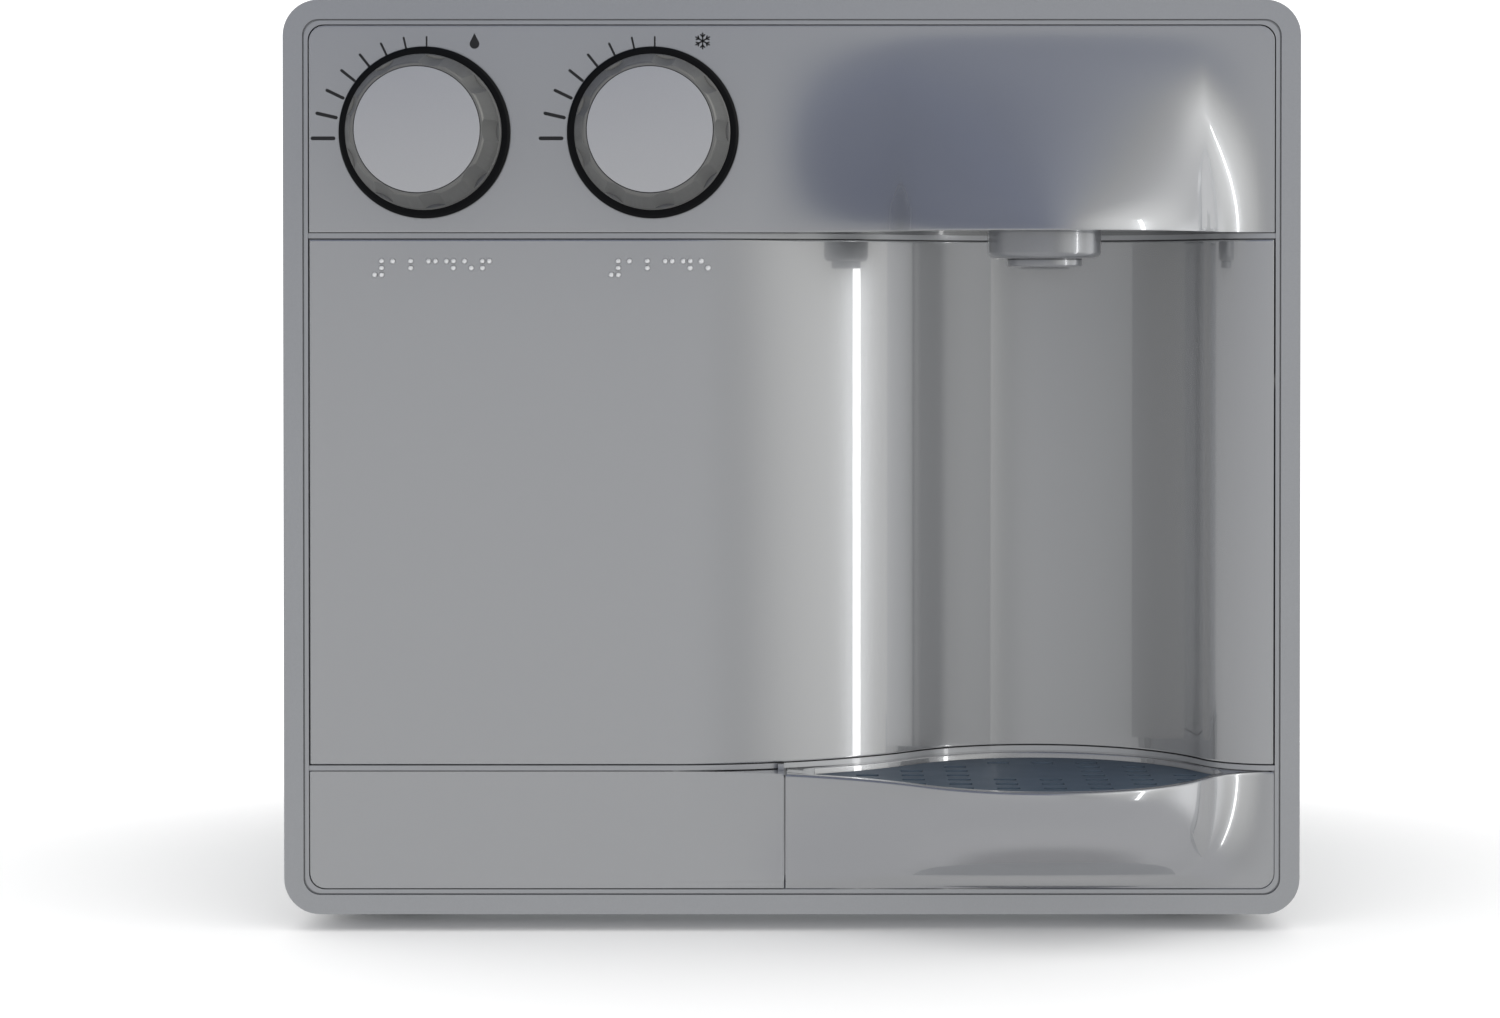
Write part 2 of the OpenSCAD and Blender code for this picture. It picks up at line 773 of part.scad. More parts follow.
// Ceiling of the niche, which carries the spout
module spout_plate()
    color("#7d8185") place() {
        xs = evenly(hood_x0 + plate_in, panel_x - plate_in / 2, bay_steps);
        back_set = bar_depth - panel_t;
        difference() {
            plan(plate_z, plate_z + plate_t)
                polygon(concat(
                    [for (x = xs) [x, fascia_front(x, plate_z + plate_t) + fascia_t + panel_gap]],
                    [for (x = reversed(xs)) [x, face_y + dip(x, niche_depth, niche_lead) + back_set]]
                ));
            translate([spout_x, spout_y, 0]) drum(neck_r + run_gap, plate_z - cut, plate_z + plate_t + cut);
        }
    }

module front_panel()
    color("#909395") place()
        plan(middle_z0, middle_z1) niche_strip(0, panel_t, panel_x);

module lower_cover()
    color("#909395") place() {
        corner_x = -panel_x + panel_corner_r;
        xs = concat(
            [for (a = [90:-corner_step:corner_step]) corner_x - panel_corner_r * sin(a)],
            [corner_x],
            evenly(niche_x - niche_lead, -seam_x - panel_gap, cover_steps)
        );
        front = [for (x = xs)
            let(low = lower_z0 + corner_drop(corner_x - x))
            [for (z = evenly(low, lower_z1, cover_rows)) [x, lower_front(x, z), z]]];
        grid_shell(front, [for (col = front) [for (p = col) p + [0, panel_t, 0]]]);
    }

// Outline of the tray at height z
function tray_loop(z) =
    let(xs = evenly(tray_x0, tray_x1 - corner_drop(lower_z0 + panel_corner_r - z), tray_steps))
    concat(
        [for (x = xs) [x, lower_front(x, z), z]],
        [for (x = reversed(xs)) [x, tray_back(x), z]]
    );

// Outline of the tray's hollow at height z: a lens with blunt ends, inside the niche's face
function hollow_loop(z, end_in, wall_in) =
    let(xs = evenly(recess_x0 + end_in, recess_x1 - end_in, tray_steps))
    concat(
        [for (x = xs) [x, lower_front(x, z) + tray_front_t + wall_in, z]],
        [for (x = reversed(xs)) [x, niche_back(x) - tray_wall - wall_in, z]]
    );

module drip_tray() {
    round_z = lower_z0 + panel_corner_r;
    color("#94979a") place()
        loft(concat(
            [for (a = [0:corner_step:90 - corner_step]) tray_loop(round_z - panel_corner_r * cos(a))],
            [for (z = evenly(round_z, lower_z1, tray_rows)) tray_loop(z)],
            [hollow_loop(lower_z1, 0, 0), hollow_loop(seat_z, 0, 0)],
            [for (z = evenly(seat_z, lower_z0 + tray_wall, tray_rows - 2)) hollow_loop(z, basin_in, seat_w)]
        ));
}

// Edges of the grille at x
function grille_front(x) = lower_front(x, seat_z) + tray_front_t + slide_gap;
function grille_back(x) = niche_back(x) - tray_wall - slide_gap;

function slot_fits(x, y) = min([for (side = [-1, 1])
    let(u = x + side * slot_l / 2)
    min(y - slot_w / 2 - grille_front(u), grille_back(u) - y - slot_w / 2, u - recess_x0, recess_x1 - u)])
    > slot_margin;

function slot_blank(x, y) =
    abs(x - slot_x + slot_pitch_x / 2) < blank_x && y > blank_y0 && y < blank_y1;

module drip_grille()
    color("#4a535c") place() {
        xs = evenly(recess_x0 + slide_gap, recess_x1 - slide_gap, bay_steps);
        difference() {
            plan(grille_z0, grille_z1)
                polygon(concat(
                    [for (x = xs) [x, grille_front(x)]],
                    [for (x = reversed(xs)) [x, grille_back(x)]]
                ));
            for (col = [-slot_cols:slot_cols], row = [0:slot_rows]) {
                x = slot_x + slot_pitch_x * col;
                y = slot_y - slot_pitch_y * row;
                if (slot_fits(x, y) && !slot_blank(x, y))
                    translate([x - slot_l / 2, y - slot_w / 2, grille_z0 - cut])
                        cube([slot_l, slot_w, grille_t + 2 * cut]);
            }
        }
    }

// Spout
module spout_body()
    color("#8f9295") place() translate([spout_x, spout_y, plate_z])
        rotate_extrude() polygon(concat(
            [[spout_bore_r, tip_h - spout_drop], [outlet_r + tip_lip, tip_h - spout_drop]],
            [for (a = [0:15:90])
                [spout_r - collar_round[0] * (1 - sin(a)), -collar_h - collar_round[1] * cos(a)]],
            [[spout_r, 0], [neck_r, 0], [neck_r, neck_top], [spout_bore_r, neck_top]]
        ));

module spout_outlet()
    color("#7f8387") place() translate([spout_x, spout_y, plate_z - spout_drop])
        rotate_extrude() polygon([
            [mouth_r, 0], [outlet_r - tip_edge, 0], [outlet_r, tip_edge], [outlet_r, tip_h],
            [spout_bore_r, tip_h], [spout_bore_r, spigot_h], [spout_bore_r - spigot_t, spigot_h],
            [spout_bore_r - spigot_t, tip_h]
        ]);

module spout_manifold()
    color("white") place() difference() {
        union() {
            translate([spout_x, spout_y, plate_z + plate_t] - [manifold[0], manifold[1], 0] / 2)
                cube(manifold);
            manifold_ports() drum(barb_r, -sink, port_l);
        }
        translate([spout_x, spout_y, plate_z + plate_t])
            drum(neck_r + run_gap, -cut, manifold[2] - manifold_roof);
        manifold_ports() drum(bore_r, -manifold[1] / 2, port_l + cut);
    }

// The two hose ports at the manifold's back
module manifold_ports()
    for (side = [-1, 1])
        translate([spout_x + side * port_pitch / 2, port_y, port_z]) rotate([-90, 0, 0]) children();

// Knobs
module dial_ring(x)
    color("#16171a") facing(x)
        rotate_extrude() polygon([
            [ring_inner_r, 0], [ring_r, 0], [ring_r, ring_h - ring_edge], [ring_r - ring_edge, ring_h],
            [ring_inner_r, ring_h]
        ]);

module natural_dial_ring() dial_ring(natural_x);
module cold_dial_ring() dial_ring(cold_x);

module knob_grip(x) {
    taper_r = grip_r - skirt_in;
    taper_base = grip_base + skirt_h + skirt_in;
    inner_r = grip_r - grip_wall;
    web = spindle_top + sink;
    lean = atan2(taper_r - grip_top_r, knob_h - taper_base);
    color("#8d9093") facing(x) difference() {
        rotate_extrude() polygon([
            [0, spindle_top], [spindle_r, spindle_top], [spindle_r, grip_base], [hub_r, grip_base],
            [hub_r, web], [grip_top_r - grip_wall, web], [inner_r, grip_base + skirt_h], [inner_r, grip_base],
            [grip_r, grip_base], [grip_r, grip_base + skirt_h], [taper_r, taper_base],
            [grip_top_r, knob_h - top_edge], [grip_top_r - top_edge, knob_h], [cap_r + seat_gap, knob_h],
            [cap_r + seat_gap, cap_seat], [0, cap_seat]
        ]);
        for (i = [0:scallops - 1])
            rotate([0, 0, 360 * i / scallops])
                translate([taper_r + scallop_r - scallop_d, 0, scallop_base])
                    rotate([0, -lean, 0]) cylinder(r = scallop_r, h = knob_h);
    }
}

module natural_knob_grip() knob_grip(natural_x);
module cold_knob_grip() knob_grip(cold_x);

module knob_cap(x) color("#a3a5a6") facing(x) drum(cap_r, cap_seat, knob_h);
module natural_knob_cap() knob_cap(natural_x);
module cold_knob_cap() knob_cap(cold_x);

// Spindle with the turning disc at its inner end
module spindle(x)
    color("#b5a16a") facing(x) {
        drum(spindle_r, chamber_front - turn_gap - disc_h, spindle_top);
        drum(disc_r, chamber_front - turn_gap - disc_h, chamber_front - turn_gap);
    }

module natural_spindle() spindle(natural_x);
module cold_spindle() spindle(cold_x);

// Valves
module valve_body(x)
    color("#b08d57") facing(x) difference() {
        union() {
            drum(valve_neck_r, valve_front, valve_neck_top);
            drum(valve_r, valve_back, valve_front);
            translate([0, 0, outlet_h]) rotate([0, 90, 0]) drum(barb_r, chamber_r + sink, valve_r + barb_l);
        }
        drum(spindle_r + run_gap, chamber_front - cut, 0);
        drum(seal_mid_r + seal_r + seat_gap, seal_h - seal_r - seat_gap, seal_h + seal_r + seat_gap);
        drum(chamber_r, valve_back - cut, chamber_front);
        translate([0, 0, outlet_h]) rotate([0, 90, 0]) drum(bore_r, 0, valve_r + barb_l + cut);
    }

module natural_valve_body() valve_body(natural_x);
module cold_valve_body() valve_body(cold_x);

module valve_end(x)
    color("#e6e6e2") facing(x) difference() {
        union() {
            drum(chamber_r - seat_gap, valve_back - sink, chamber_front - disc_h - 2 * turn_gap);
            drum(valve_r, valve_back - end_flange, valve_back);
            drum(barb_r, valve_back - end_flange - barb_l, valve_back);
        }
        drum(bore_r, valve_back - end_flange - barb_l - cut, 0);
    }

module natural_valve_end() valve_end(natural_x);
module cold_valve_end() valve_end(cold_x);

module valve_nuts()
    color("#c9a95c") for (x = [natural_x, cold_x]) facing(x) difference() {
        translate([0, 0, bracket_h]) cylinder(r = nut_r, h = nut_h, $fn = 6);
        drum(valve_neck_r, bracket_h - cut, bracket_h + nut_h + cut);
    }

module stem_seals()
    color("#202020") for (x = [natural_x, cold_x]) facing(x)
        translate([0, 0, seal_h]) rotate_extrude() translate([seal_mid_r, 0]) circle(seal_r);

module valve_bracket()
    color("#b9bcbe") place() difference() {
        y0 = face_y + bracket_set;
        y1 = y0 + bracket_t;
        union() {
            block([bracket_x0, y0, plate_z], [bracket_x1, y1, bracket_z1]);
            block(
                [bracket_x0, face_y + fascia_t + slide_gap, plate_z],
                [bracket_x1, y1, plate_z + bracket_t]
            );
        }
        for (x = [natural_x, cold_x])
            translate([x, y0, knob_z]) rotate([-90, 0, 0]) drum(valve_neck_r, -cut, bracket_t + cut);
        for (x = bracket_screw_xs())
            translate([x, bracket_screw_y, plate_z]) drum(screw_r, -cut, bracket_t + cut);
    }

module bracket_screws()
    color("#c8c8c8") place() for (x = bracket_screw_xs())
        translate([x, bracket_screw_y, plate_z + bracket_t]) {
            drum(screw_r + screw_edge, 0, screw_head_h);
            drum(screw_r - run_gap, -bracket_t - shelf_h - bar_h, 0);
        }

// Cabinet
module cabinet_wrap()
    color("#5d6165") place() difference() {
        slab(rim_t, cabinet_depth) difference() {
            outline_ring(wrap_inset, wrap_corner_r, wrap_in, rear_corner_r);
            translate([-base_x + wrap_return, frame_z0]) square([2 * (base_x - wrap_return), wrap_corner_r]);
        }
        rear_screw_places() drum(screw_r, -screw_l - cut, cut);
        base_screw_places() drum(screw_r, -screw_l - cut, cut);
    }

// Places of the screws through wrap and rear flange, and through wrap and base; +Z is outwards
module rear_screw_places()
    for (side = [-1, 1], z = rear_screw_z)
        translate([side * (wrap_x + wrap_t), rear_screw_y, z]) rotate([0, side * 90, 0]) children();

module base_screw_places()
    for (side = [-1, 1], y = base_screw_y)
        translate([side * base_screw_x, y, wrap_floor]) rotate([180, 0, 0]) children();

module foot_places()
    for (x = [-foot_x, foot_x], y = [foot_y0, foot_y1]) translate([x, y, 0]) children();

module base_plate()
    color("#8a8d90") place() difference() {
        lip_x = base_x - wrap_return;
        union() {
            block([-base_x, base_y0, base_z0], [base_x, base_y1, base_z1]);
            block([-lip_x, base_y0, base_z0], [bay_x0 - slide_gap, base_y0 + base_t, base_z0 + base_lip]);
            block([-lip_x, base_y1 - base_t, base_z0], [lip_x, base_y1, base_z0 + base_lip]);
        }
        foot_places() drum(stem_r, base_z0 - cut, base_z1 + cut);
        base_screw_places() drum(screw_r, -screw_l - cut, cut);
        for (p = comp_bolts()) translate(p) drum(bolt_r, base_z0 - cut, base_z1 + cut);
    }

module rear_panel()
    color("#6a6e72") place() difference() {
        union() {
            slab(rear_y0, cabinet_depth) outline(rear_inset, rear_corner_r);
            slab(rear_y0 - rear_flange, rear_y0)
                outline_ring(rear_inset, rear_corner_r, rear_inset + rear_t, rear_corner_r - rear_t);
        }
        rear_screw_places() drum(screw_r, -screw_l - cut, cut);
        slab(rear_y0 - cut, cabinet_depth + cut) {
            rear_louvres();
            for (z = [inlet_z, gland_z]) translate([fitting_x, z]) circle(fitting_r);
            translate([fitting_x, thermostat_z]) circle(stub_r + cut);
        }
    }

// Rows of round-ended cooling slots over the condenser
module rear_louvres() {
    middle = (condenser_x0 + condenser_x1) / 2;
    low = condenser_bottom + louvre_in;
    for (x = [condenser_x0 + louvre_side, middle, condenser_x1 - louvre_side])
        for (z = [low:louvre_pitch:condenser_top - louvre_in])
            translate([x, z]) {
                translate([-louvre_l / 2, -louvre_half]) square([louvre_l, 2 * louvre_half]);
                for (side = [-1, 1]) translate([side * louvre_l / 2, 0]) circle(louvre_half);
            }
}

module rear_spacers()
    color("#26282a") for (x = [-spacer_x, spacer_x], z = [spacer_low, spacer_high])
        backing(x, cabinet_depth, z) rotate_extrude() polygon([
            [0, 0], [spacer_r, 0], [spacer_r - 2 * spacer_edge, spacer_l - spacer_edge],
            [spacer_r - 3 * spacer_edge, spacer_l], [0, spacer_l]
        ]);

module rubber_feet()
    color("#1b1c1d") place() foot_places()
        rotate_extrude() polygon([
            [0, 0], [foot_r - 2 * foot_edge, 0], [foot_r - foot_edge, foot_edge], [foot_r, base_z0],
            [stem_r, base_z0], [stem_r, base_z1], [0, base_z1]
        ]);

module cabinet_screws()
    color("#c4c6c8") place() {
        rear_screw_places() screw();
        base_screw_places() screw();
    }

module screw() {
    rotate_extrude() polygon([
        [0, 0], [screw_head_r, 0], [screw_head_r - screw_edge, screw_head_h], [0, screw_head_h]
    ]);
    drum(screw_r, -screw_l, 0);
}

// Compressor
function comp_bolts() = [for (sx = [-1, 1], sy = [-1, 1])
    [comp_x + sx * comp_bolt_x, comp_y + sy * comp_bolt_y, 0]];

module stadium(grow) {
    r = comp_w / 2 + grow;
    reach = (comp_l - comp_w) / 2;
    translate([comp_x, comp_y]) {
        translate([-reach, -r]) square([2 * reach, 2 * r]);
        for (side = [-1, 1]) translate([side * reach, 0]) circle(r);
    }
}

module compressor_lower_shell()
    color("#1d1f21") place() {
        difference() {
            union() {
                plan(comp_z, comp_seam) stadium(0);
                plan(comp_seam - comp_rim, comp_seam) stadium(comp_rim_out);
            }
            plan(comp_z + comp_wall, comp_seam + cut) stadium(-comp_wall);
        }
        difference() {
            translate([comp_x, comp_y, comp_z])
                block([-comp_foot_x, -comp_foot_y, -comp_foot_t], [comp_foot_x, comp_foot_y, 0]);
            for (p = comp_bolts()) translate(p) drum(bolt_r, comp_z - comp_foot_t - cut, comp_z + cut);
        }
    }

module compressor_upper_shell()
    color("#222426") place() difference() {
        dome_z = comp_top - dome_h;
        union() {
            plan(comp_seam, dome_z) stadium(0);
            plan(dome_z, comp_top) stadium(-dome_in);
        }
        plan(comp_seam - cut, dome_z - comp_wall) stadium(-comp_wall);
        plan(dome_z - comp_wall - cut, comp_top - comp_wall) stadium(-dome_in - comp_wall);
    }

module compressor_pump()
    color("#55585a") place() translate([comp_x, comp_y, 0]) {
        drum(pump_foot_r, comp_z + comp_wall, pump_z0);
        drum(pump_r, pump_z0, pump_z1);
    }

module compressor_grommets()
    color("#2a2b2c") place() for (p = comp_bolts()) translate(p) difference() {
        drum(grommet_r, base_z1, comp_z - comp_foot_t);
        drum(bolt_r + seat_gap, base_z1 - cut, comp_z);
    }

module compressor_bolts()
    color("#c2c4c6") place() for (p = comp_bolts()) translate(p) {
        drum(bolt_r, base_z0, comp_z);
        translate([0, 0, comp_z]) cylinder(r = bolt_head_r, h = bolt_head_h, $fn = 6);
    }

module relay_cover()
    color("#101112") place()
        translate([comp_x - relay[0] / 2, comp_y - comp_w / 2 - relay[1], relay_z]) cube(relay);

// Condenser: one serpentine tube on a sheet with four tabs to the rear panel
function condenser_rowz(i) = condenser_top - condenser_pitch * i;

function condenser_path() = concat(
    [[condenser_end, condenser_y, condenser_top]],
    [for (i = [0:condenser_rows - 2])
        let(x = i % 2 == 0 ? condenser_x0 + tube_in : condenser_x1 - tube_in)
        each [[x, condenser_y, condenser_rowz(i)], [x, condenser_y, condenser_rowz(i + 1)]]],
    [[condenser_end, condenser_y, condenser_bottom]]
);

module condenser()
    color("#17181a") place() {
        y0 = condenser_y + tube_r - condenser_sink;
        low = condenser_bottom - condenser_edge;
        high = condenser_top + condenser_edge;
        pipe(condenser_path(), tube_r, 0, condenser_pitch / 2);
        block([condenser_x0, y0, low], [condenser_x1, y0 + condenser_sheet, high]);
        for (x = [condenser_x0, condenser_x1 - condenser_tab], z = [low, condenser_top])
            block([x, y0, z], [x + condenser_tab, rear_y0, z + condenser_sheet]);
    }

module filter_drier() {
    tip_r = capillary_r + tube_wall;
    start = condenser_end + drier_neck;
    end = drier_x1 - drier_neck;
    color("#b87333") backing(0, condenser_y, condenser_bottom) rotate([0, 90, 0])
        rotate_extrude() polygon([
            [0, condenser_end], [tube_r, condenser_end], [tube_r, start], [drier_r, start + drier_cone],
            [drier_r, end - drier_cone], [tip_r, end], [tip_r, drier_x1], [0, drier_x1]
        ]);
}

module discharge_line()
    color("#b87333") place()
        pipe([
            [comp_x + comp_l / 2, comp_y, discharge_z],
            [riser_x, comp_y, discharge_z],
            [riser_x, comp_y, condenser_top],
            [riser_x, condenser_y, condenser_top],
            [condenser_end, condenser_y, condenser_top]
        ], tube_r, tube_r - tube_wall, line_bend);

module suction_line()
    color("#b87333") place() {
        shell_x = comp_x - comp_l / 2;
        middle = (foam_x1 + shell_x) / 2;
        pipe([
            [tank_x - coil_mid_r, coil_lead_y, coil_z1],
            [tank_x - coil_mid_r, line_y, coil_z1],
            [middle, line_y, coil_z1],
            [middle, comp_y, coil_z1],
            [middle, comp_y, suction_z],
            [shell_x, comp_y, suction_z]
        ], suction_r, suction_r - tube_wall, line_bend);
    }

module capillary_tube()
    color("#c98a4b") place() {
        low = base_z1 + 7;
        side = riser_x + 2;
        pipe([
            [drier_x1, condenser_y, condenser_bottom],
            [side, condenser_y, condenser_bottom],
            [side, condenser_y, low],
            [side, line_y, low],
            [tank_x + coil_mid_r, line_y, low],
            [tank_x + coil_mid_r, line_y, coil_z0],
            [tank_x + coil_mid_r, coil_lead_y, coil_z0]
        ], capillary_r, 0, capillary_bend);
    }

// Cold tank
module cold_tank()
    color("#c9ccce") place() translate([tank_x, tank_y, 0]) difference() {
        drum(tank_r, tank_z, tank_top);
        drum(tank_r - tank_wall, tank_z + tank_wall, tank_top + cut);
    }

module tank_lid()
    color("#d6d8da") place() difference() {
        union() {
            translate([tank_x, tank_y, 0]) drum(tank_r, tank_top, tank_top + lid_t);
            for (p = [feed_port, cold_port]) translate(p) drum(barb_r, tank_top, tank_port_top);
        }
        for (p = [feed_port, cold_port]) translate(p) drum(bore_r, tank_top - cut, tank_port_top + cut);
    }

// Evaporator: one helical tube round the tank, both ends leaving to the front
function coil_path() =
    let(steps = coil_steps * coil_turns + coil_steps / 2)
    concat(
        [[tank_x + coil_mid_r, coil_lead_y, coil_z0]],
        [for (i = [0:steps])
            let(a = 360 * i / coil_steps, z = coil_z0 + (coil_z1 - coil_z0) * i / steps)
            [tank_x + coil_mid_r * cos(a), tank_y + coil_mid_r * sin(a), z]],
        [[tank_x - coil_mid_r, coil_lead_y, coil_z1]]
    );

module sweep(path, r, sides) {
    n = len(path);
    rings = [for (i = [0:n - 1])
        let(
            along = unit(path[min(i + 1, n - 1)] - path[max(i - 1, 0)]),
            across = unit(cross(along, [0, 0, 1])),
            up = cross(across, along)
        )
        [for (a = [0:360 / sides:359]) path[i] + r * (cos(a) * across + sin(a) * up)]];
    walls = [for (i = [0:n - 2], k = [0:sides - 1])
        let(a = i * sides + k, b = i * sides + (k + 1) % sides)
        each [[a, b, b + sides], [a, b + sides, a + sides]]];
    last = (n - 1) * sides;
    ends = [for (k = [1:sides - 2]) each [[0, k + 1, k], [last, last + k, last + k + 1]]];
    polyhedron([for (ring = rings, p = ring) p], concat(walls, ends), convexity = 10);
}

module evaporator_coil() color("#b87333") place() sweep(coil_path(), coil_r, coil_sides);

module tank_insulation()
    color("#f2f2ee") place() difference() {
        block([foam_x0, foam_y0, base_z1], [foam_x1, tank_y + foam, foam_split]);
        translate([tank_x, tank_y, 0]) drum(foam_bore, tank_z, foam_split + cut);
        for (end = [[coil_mid_r, coil_z0], [-coil_mid_r, coil_z1]])
            translate([tank_x + end[0], tank_y, end[1]]) rotate([90, 0, 0]) drum(coil_bore, 0, foam + cut);
    }

module insulation_cap()
    color("#f2f2ee") place() difference() {
        union() {
            block([foam_x0, foam_y0, foam_split], [foam_x1, tank_y + foam, foam_top]);
            translate([tank_x, tank_y, 0])
                drum(foam_bore - slide_gap, tank_top + lid_t + seat_gap, foam_split);
        }
        for (p = [feed_port, cold_port]) translate(p) drum(barb_r + seat_gap, tank_top, foam_top + cut);
    }

// Thermostat with its knob at the rear
module thermostat_body()
    color("#ecebe6") backing(fitting_x, rear_y0, thermostat_z) difference() {
        block(
            [-thermostat[0] / 2, -thermostat[2] / 2, -thermostat[1]],
            [thermostat[0] / 2, thermostat[2] / 2, 0]
        );
        drum(stub_r + run_gap, -stub_l - cut, cut);
    }

module thermostat_knob() {
    low = rear_t + dial_gap;
    color("#1c1d1f") backing(fitting_x, rear_y0, thermostat_z) {
        drum(stub_r, -stub_l, low + sink);
        drum(dial_r, low, low + dial_foot);
        translate([0, 0, low + dial_foot - sink]) linear_extrude(dial_l - dial_foot - dial_edge[1] + sink)
            difference() {
                circle(dial_r - dial_step);
                for (i = [1:dial_grooves])
                    rotate(360 * i / dial_grooves) translate([dial_r, 0]) circle(dial_groove_r);
            }
        drum(dial_r - dial_edge[0], low, low + dial_l);
    }
}

// Filter
module filter_head()
    color("#d9dbdc") place() difference() {
        union() {
            translate([filter_x, filter_y, 0]) drum(filter_r + head_wall, head_z, head_top);
            block(
                [-wrap_x, filter_y - arm[0], head_z + arm[1]],
                [filter_x, filter_y + arm[0], head_top - arm[2]]
            );
            block(
                [-wrap_x, filter_y - arm_plate[0], head_z - arm_plate[2]],
                [-wrap_x + arm_plate[1], filter_y + arm_plate[0], head_top + arm[2]]
            );
            head_ports() drum(barb_r, 0, head_end - filter_y);
            translate([natural_x, filter_y, 0]) drum(barb_r, head_top - sink, head_top + barb_l);
        }
        translate([filter_x, filter_y, head_z])
            drum(filter_neck_r + turn_gap, -cut, filter_neck_h + turn_gap);
        head_ports() drum(bore_r, head_wall, head_end - filter_y + cut);
        translate([natural_x, filter_y, 0]) drum(bore_r, head_z + arm[1], head_top + barb_l + cut);
    }

// The head's inlet and its outlet to the cold tank
module head_ports()
    for (x = [head_in_x, feed_port[0]])
        translate([x, filter_y, head_port_z]) rotate([-90, 0, 0]) children();

module filter_cartridge()
    color("#f4f5f6") place() translate([filter_x, filter_y, 0])
        rotate_extrude() polygon([
            [0, filter_z], [filter_r - filter_edge, filter_z], [filter_r, filter_z + filter_edge],
            [filter_r, filter_top - filter_edge], [filter_r - filter_edge / 2, filter_top],
            [filter_neck_r, filter_top], [filter_neck_r, filter_top + filter_neck_h],
            [0, filter_top + filter_neck_h]
        ]);

// Fittings in the rear panel
module inlet_fitting()
    color("#e8e9ea") backing(fitting_x, rear_y0, inlet_z) difference() {
        union() {
            fitting_thread();
            drum(fitting_collar_r, rear_t, rear_t + fitting_collar_l);
            drum(barb_r, -fitting_nut_h - barb_l, -fitting_nut_h);
        }
        drum(inlet_bore_r, 0, rear_t + fitting_collar_l + cut);
        drum(bore_r, -fitting_nut_h - barb_l - cut, cut);
    }

module fitting_thread() {
    drum(fitting_r, -fitting_nut_h, rear_t);
    translate([0, 0, -fitting_nut_h]) cylinder(r = fitting_nut_r, h = fitting_nut_h, $fn = 6);
}

module power_gland()
    color("#18191a") backing(fitting_x, rear_y0, gland_z) difference() {
        union() {
            fitting_thread();
            translate([0, 0, rear_t]) rotate_extrude() polygon([
                [0, 0], [gland_r, 0], [gland_r, gland_l[0]], [fitting_r, gland_l[1]], [0, gland_l[1]]
            ]);
        }
        drum(gland_bore_r, -fitting_nut_h - cut, rear_t + gland_l[1] + cut);
    }

// Hoses
module hose(points, bend = hose_bend) color("#dfe3e6") place() pipe(points, hose_r, barb_r, bend);

module inlet_hose() {
    y = tank_y - 13;
    hose([
        [fitting_x, rear_y0 - fitting_nut_h - barb_l + hose_lap, inlet_z],
        [fitting_x, y, inlet_z],
        [head_in_x, y, inlet_z],
        [head_in_x, head_end - hose_lap, inlet_z]
    ]);
}

module tank_feed_hose()
    hose([
        [feed_port[0], head_end - hose_lap, head_port_z],
        [feed_port[0], feed_port[1], head_port_z],
        [feed_port[0], feed_port[1], tank_port_top - hose_lap]
    ]);

module cold_feed_hose()
    hose([
        [cold_port[0], cold_port[1], tank_port_top - hose_lap],
        [cold_port[0], cold_port[1], knob_z],
        [cold_port[0], line_y, knob_z],
        [cold_x, line_y, knob_z],
        [cold_x, feed_start, knob_z]
    ], jog_bend);

module natural_feed_hose()
    hose([
        [natural_x, filter_y, head_top + barb_l - hose_lap],
        [natural_x, filter_y, knob_z],
        [natural_x, feed_start, knob_z]
    ]);

module natural_spout_hose() {
    start = natural_x + outlet_end;
    riser = start + 24;
    right = spout_x + port_pitch / 2;
    high = knob_z + 25;
    hose([
        [start, outlet_y, knob_z],
        [riser, outlet_y, knob_z],
        [riser, outlet_y, high],
        [right, outlet_y, high],
        [right, outlet_y, port_z],
        [right, port_y + port_l - hose_lap, port_z]
    ]);
}

module cold_spout_hose() {
    start = cold_x + outlet_end;
    drop = start + 30;
    left = spout_x - port_pitch / 2;
    hose([
        [start, outlet_y, knob_z],
        [drop, outlet_y, knob_z],
        [drop, outlet_y, port_z],
        [left, outlet_y, port_z],
        [left, port_y + port_l - hose_lap, port_z]
    ], jog_bend);
}

front_frame();
control_fascia();
spout_plate();
front_panel();
lower_cover();
drip_tray();
drip_grille();
spout_body();
spout_outlet();
spout_manifold();
natural_dial_ring();
cold_dial_ring();
natural_knob_grip();
natural_knob_cap();
natural_spindle();
cold_knob_grip();
cold_knob_cap();
cold_spindle();
natural_valve_body();
cold_valve_body();
natural_valve_end();
cold_valve_end();
valve_nuts();
stem_seals();
valve_bracket();
bracket_screws();
cabinet_wrap();
base_plate();
rear_panel();
rear_spacers();
rubber_feet();
cabinet_screws();
compressor_lower_shell();
compressor_upper_shell();
compressor_pump();
compressor_grommets();
compressor_bolts();
relay_cover();
condenser();
filter_drier();
discharge_line();
suction_line();
capillary_tube();
cold_tank();
tank_lid();
evaporator_coil();
tank_insulation();
insulation_cap();
thermostat_body();
thermostat_knob();
filter_head();
filter_cartridge();
inlet_fitting();
power_gland();
inlet_hose();
tank_feed_hose();
cold_feed_hose();
natural_feed_hose();
natural_spout_hose();
cold_spout_hose();
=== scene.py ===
"""Dresses the water dispenser: painted shells, marked dials, rounded edges and finishes on every piece."""

import json
import math
from contextlib import contextmanager
from functools import cache

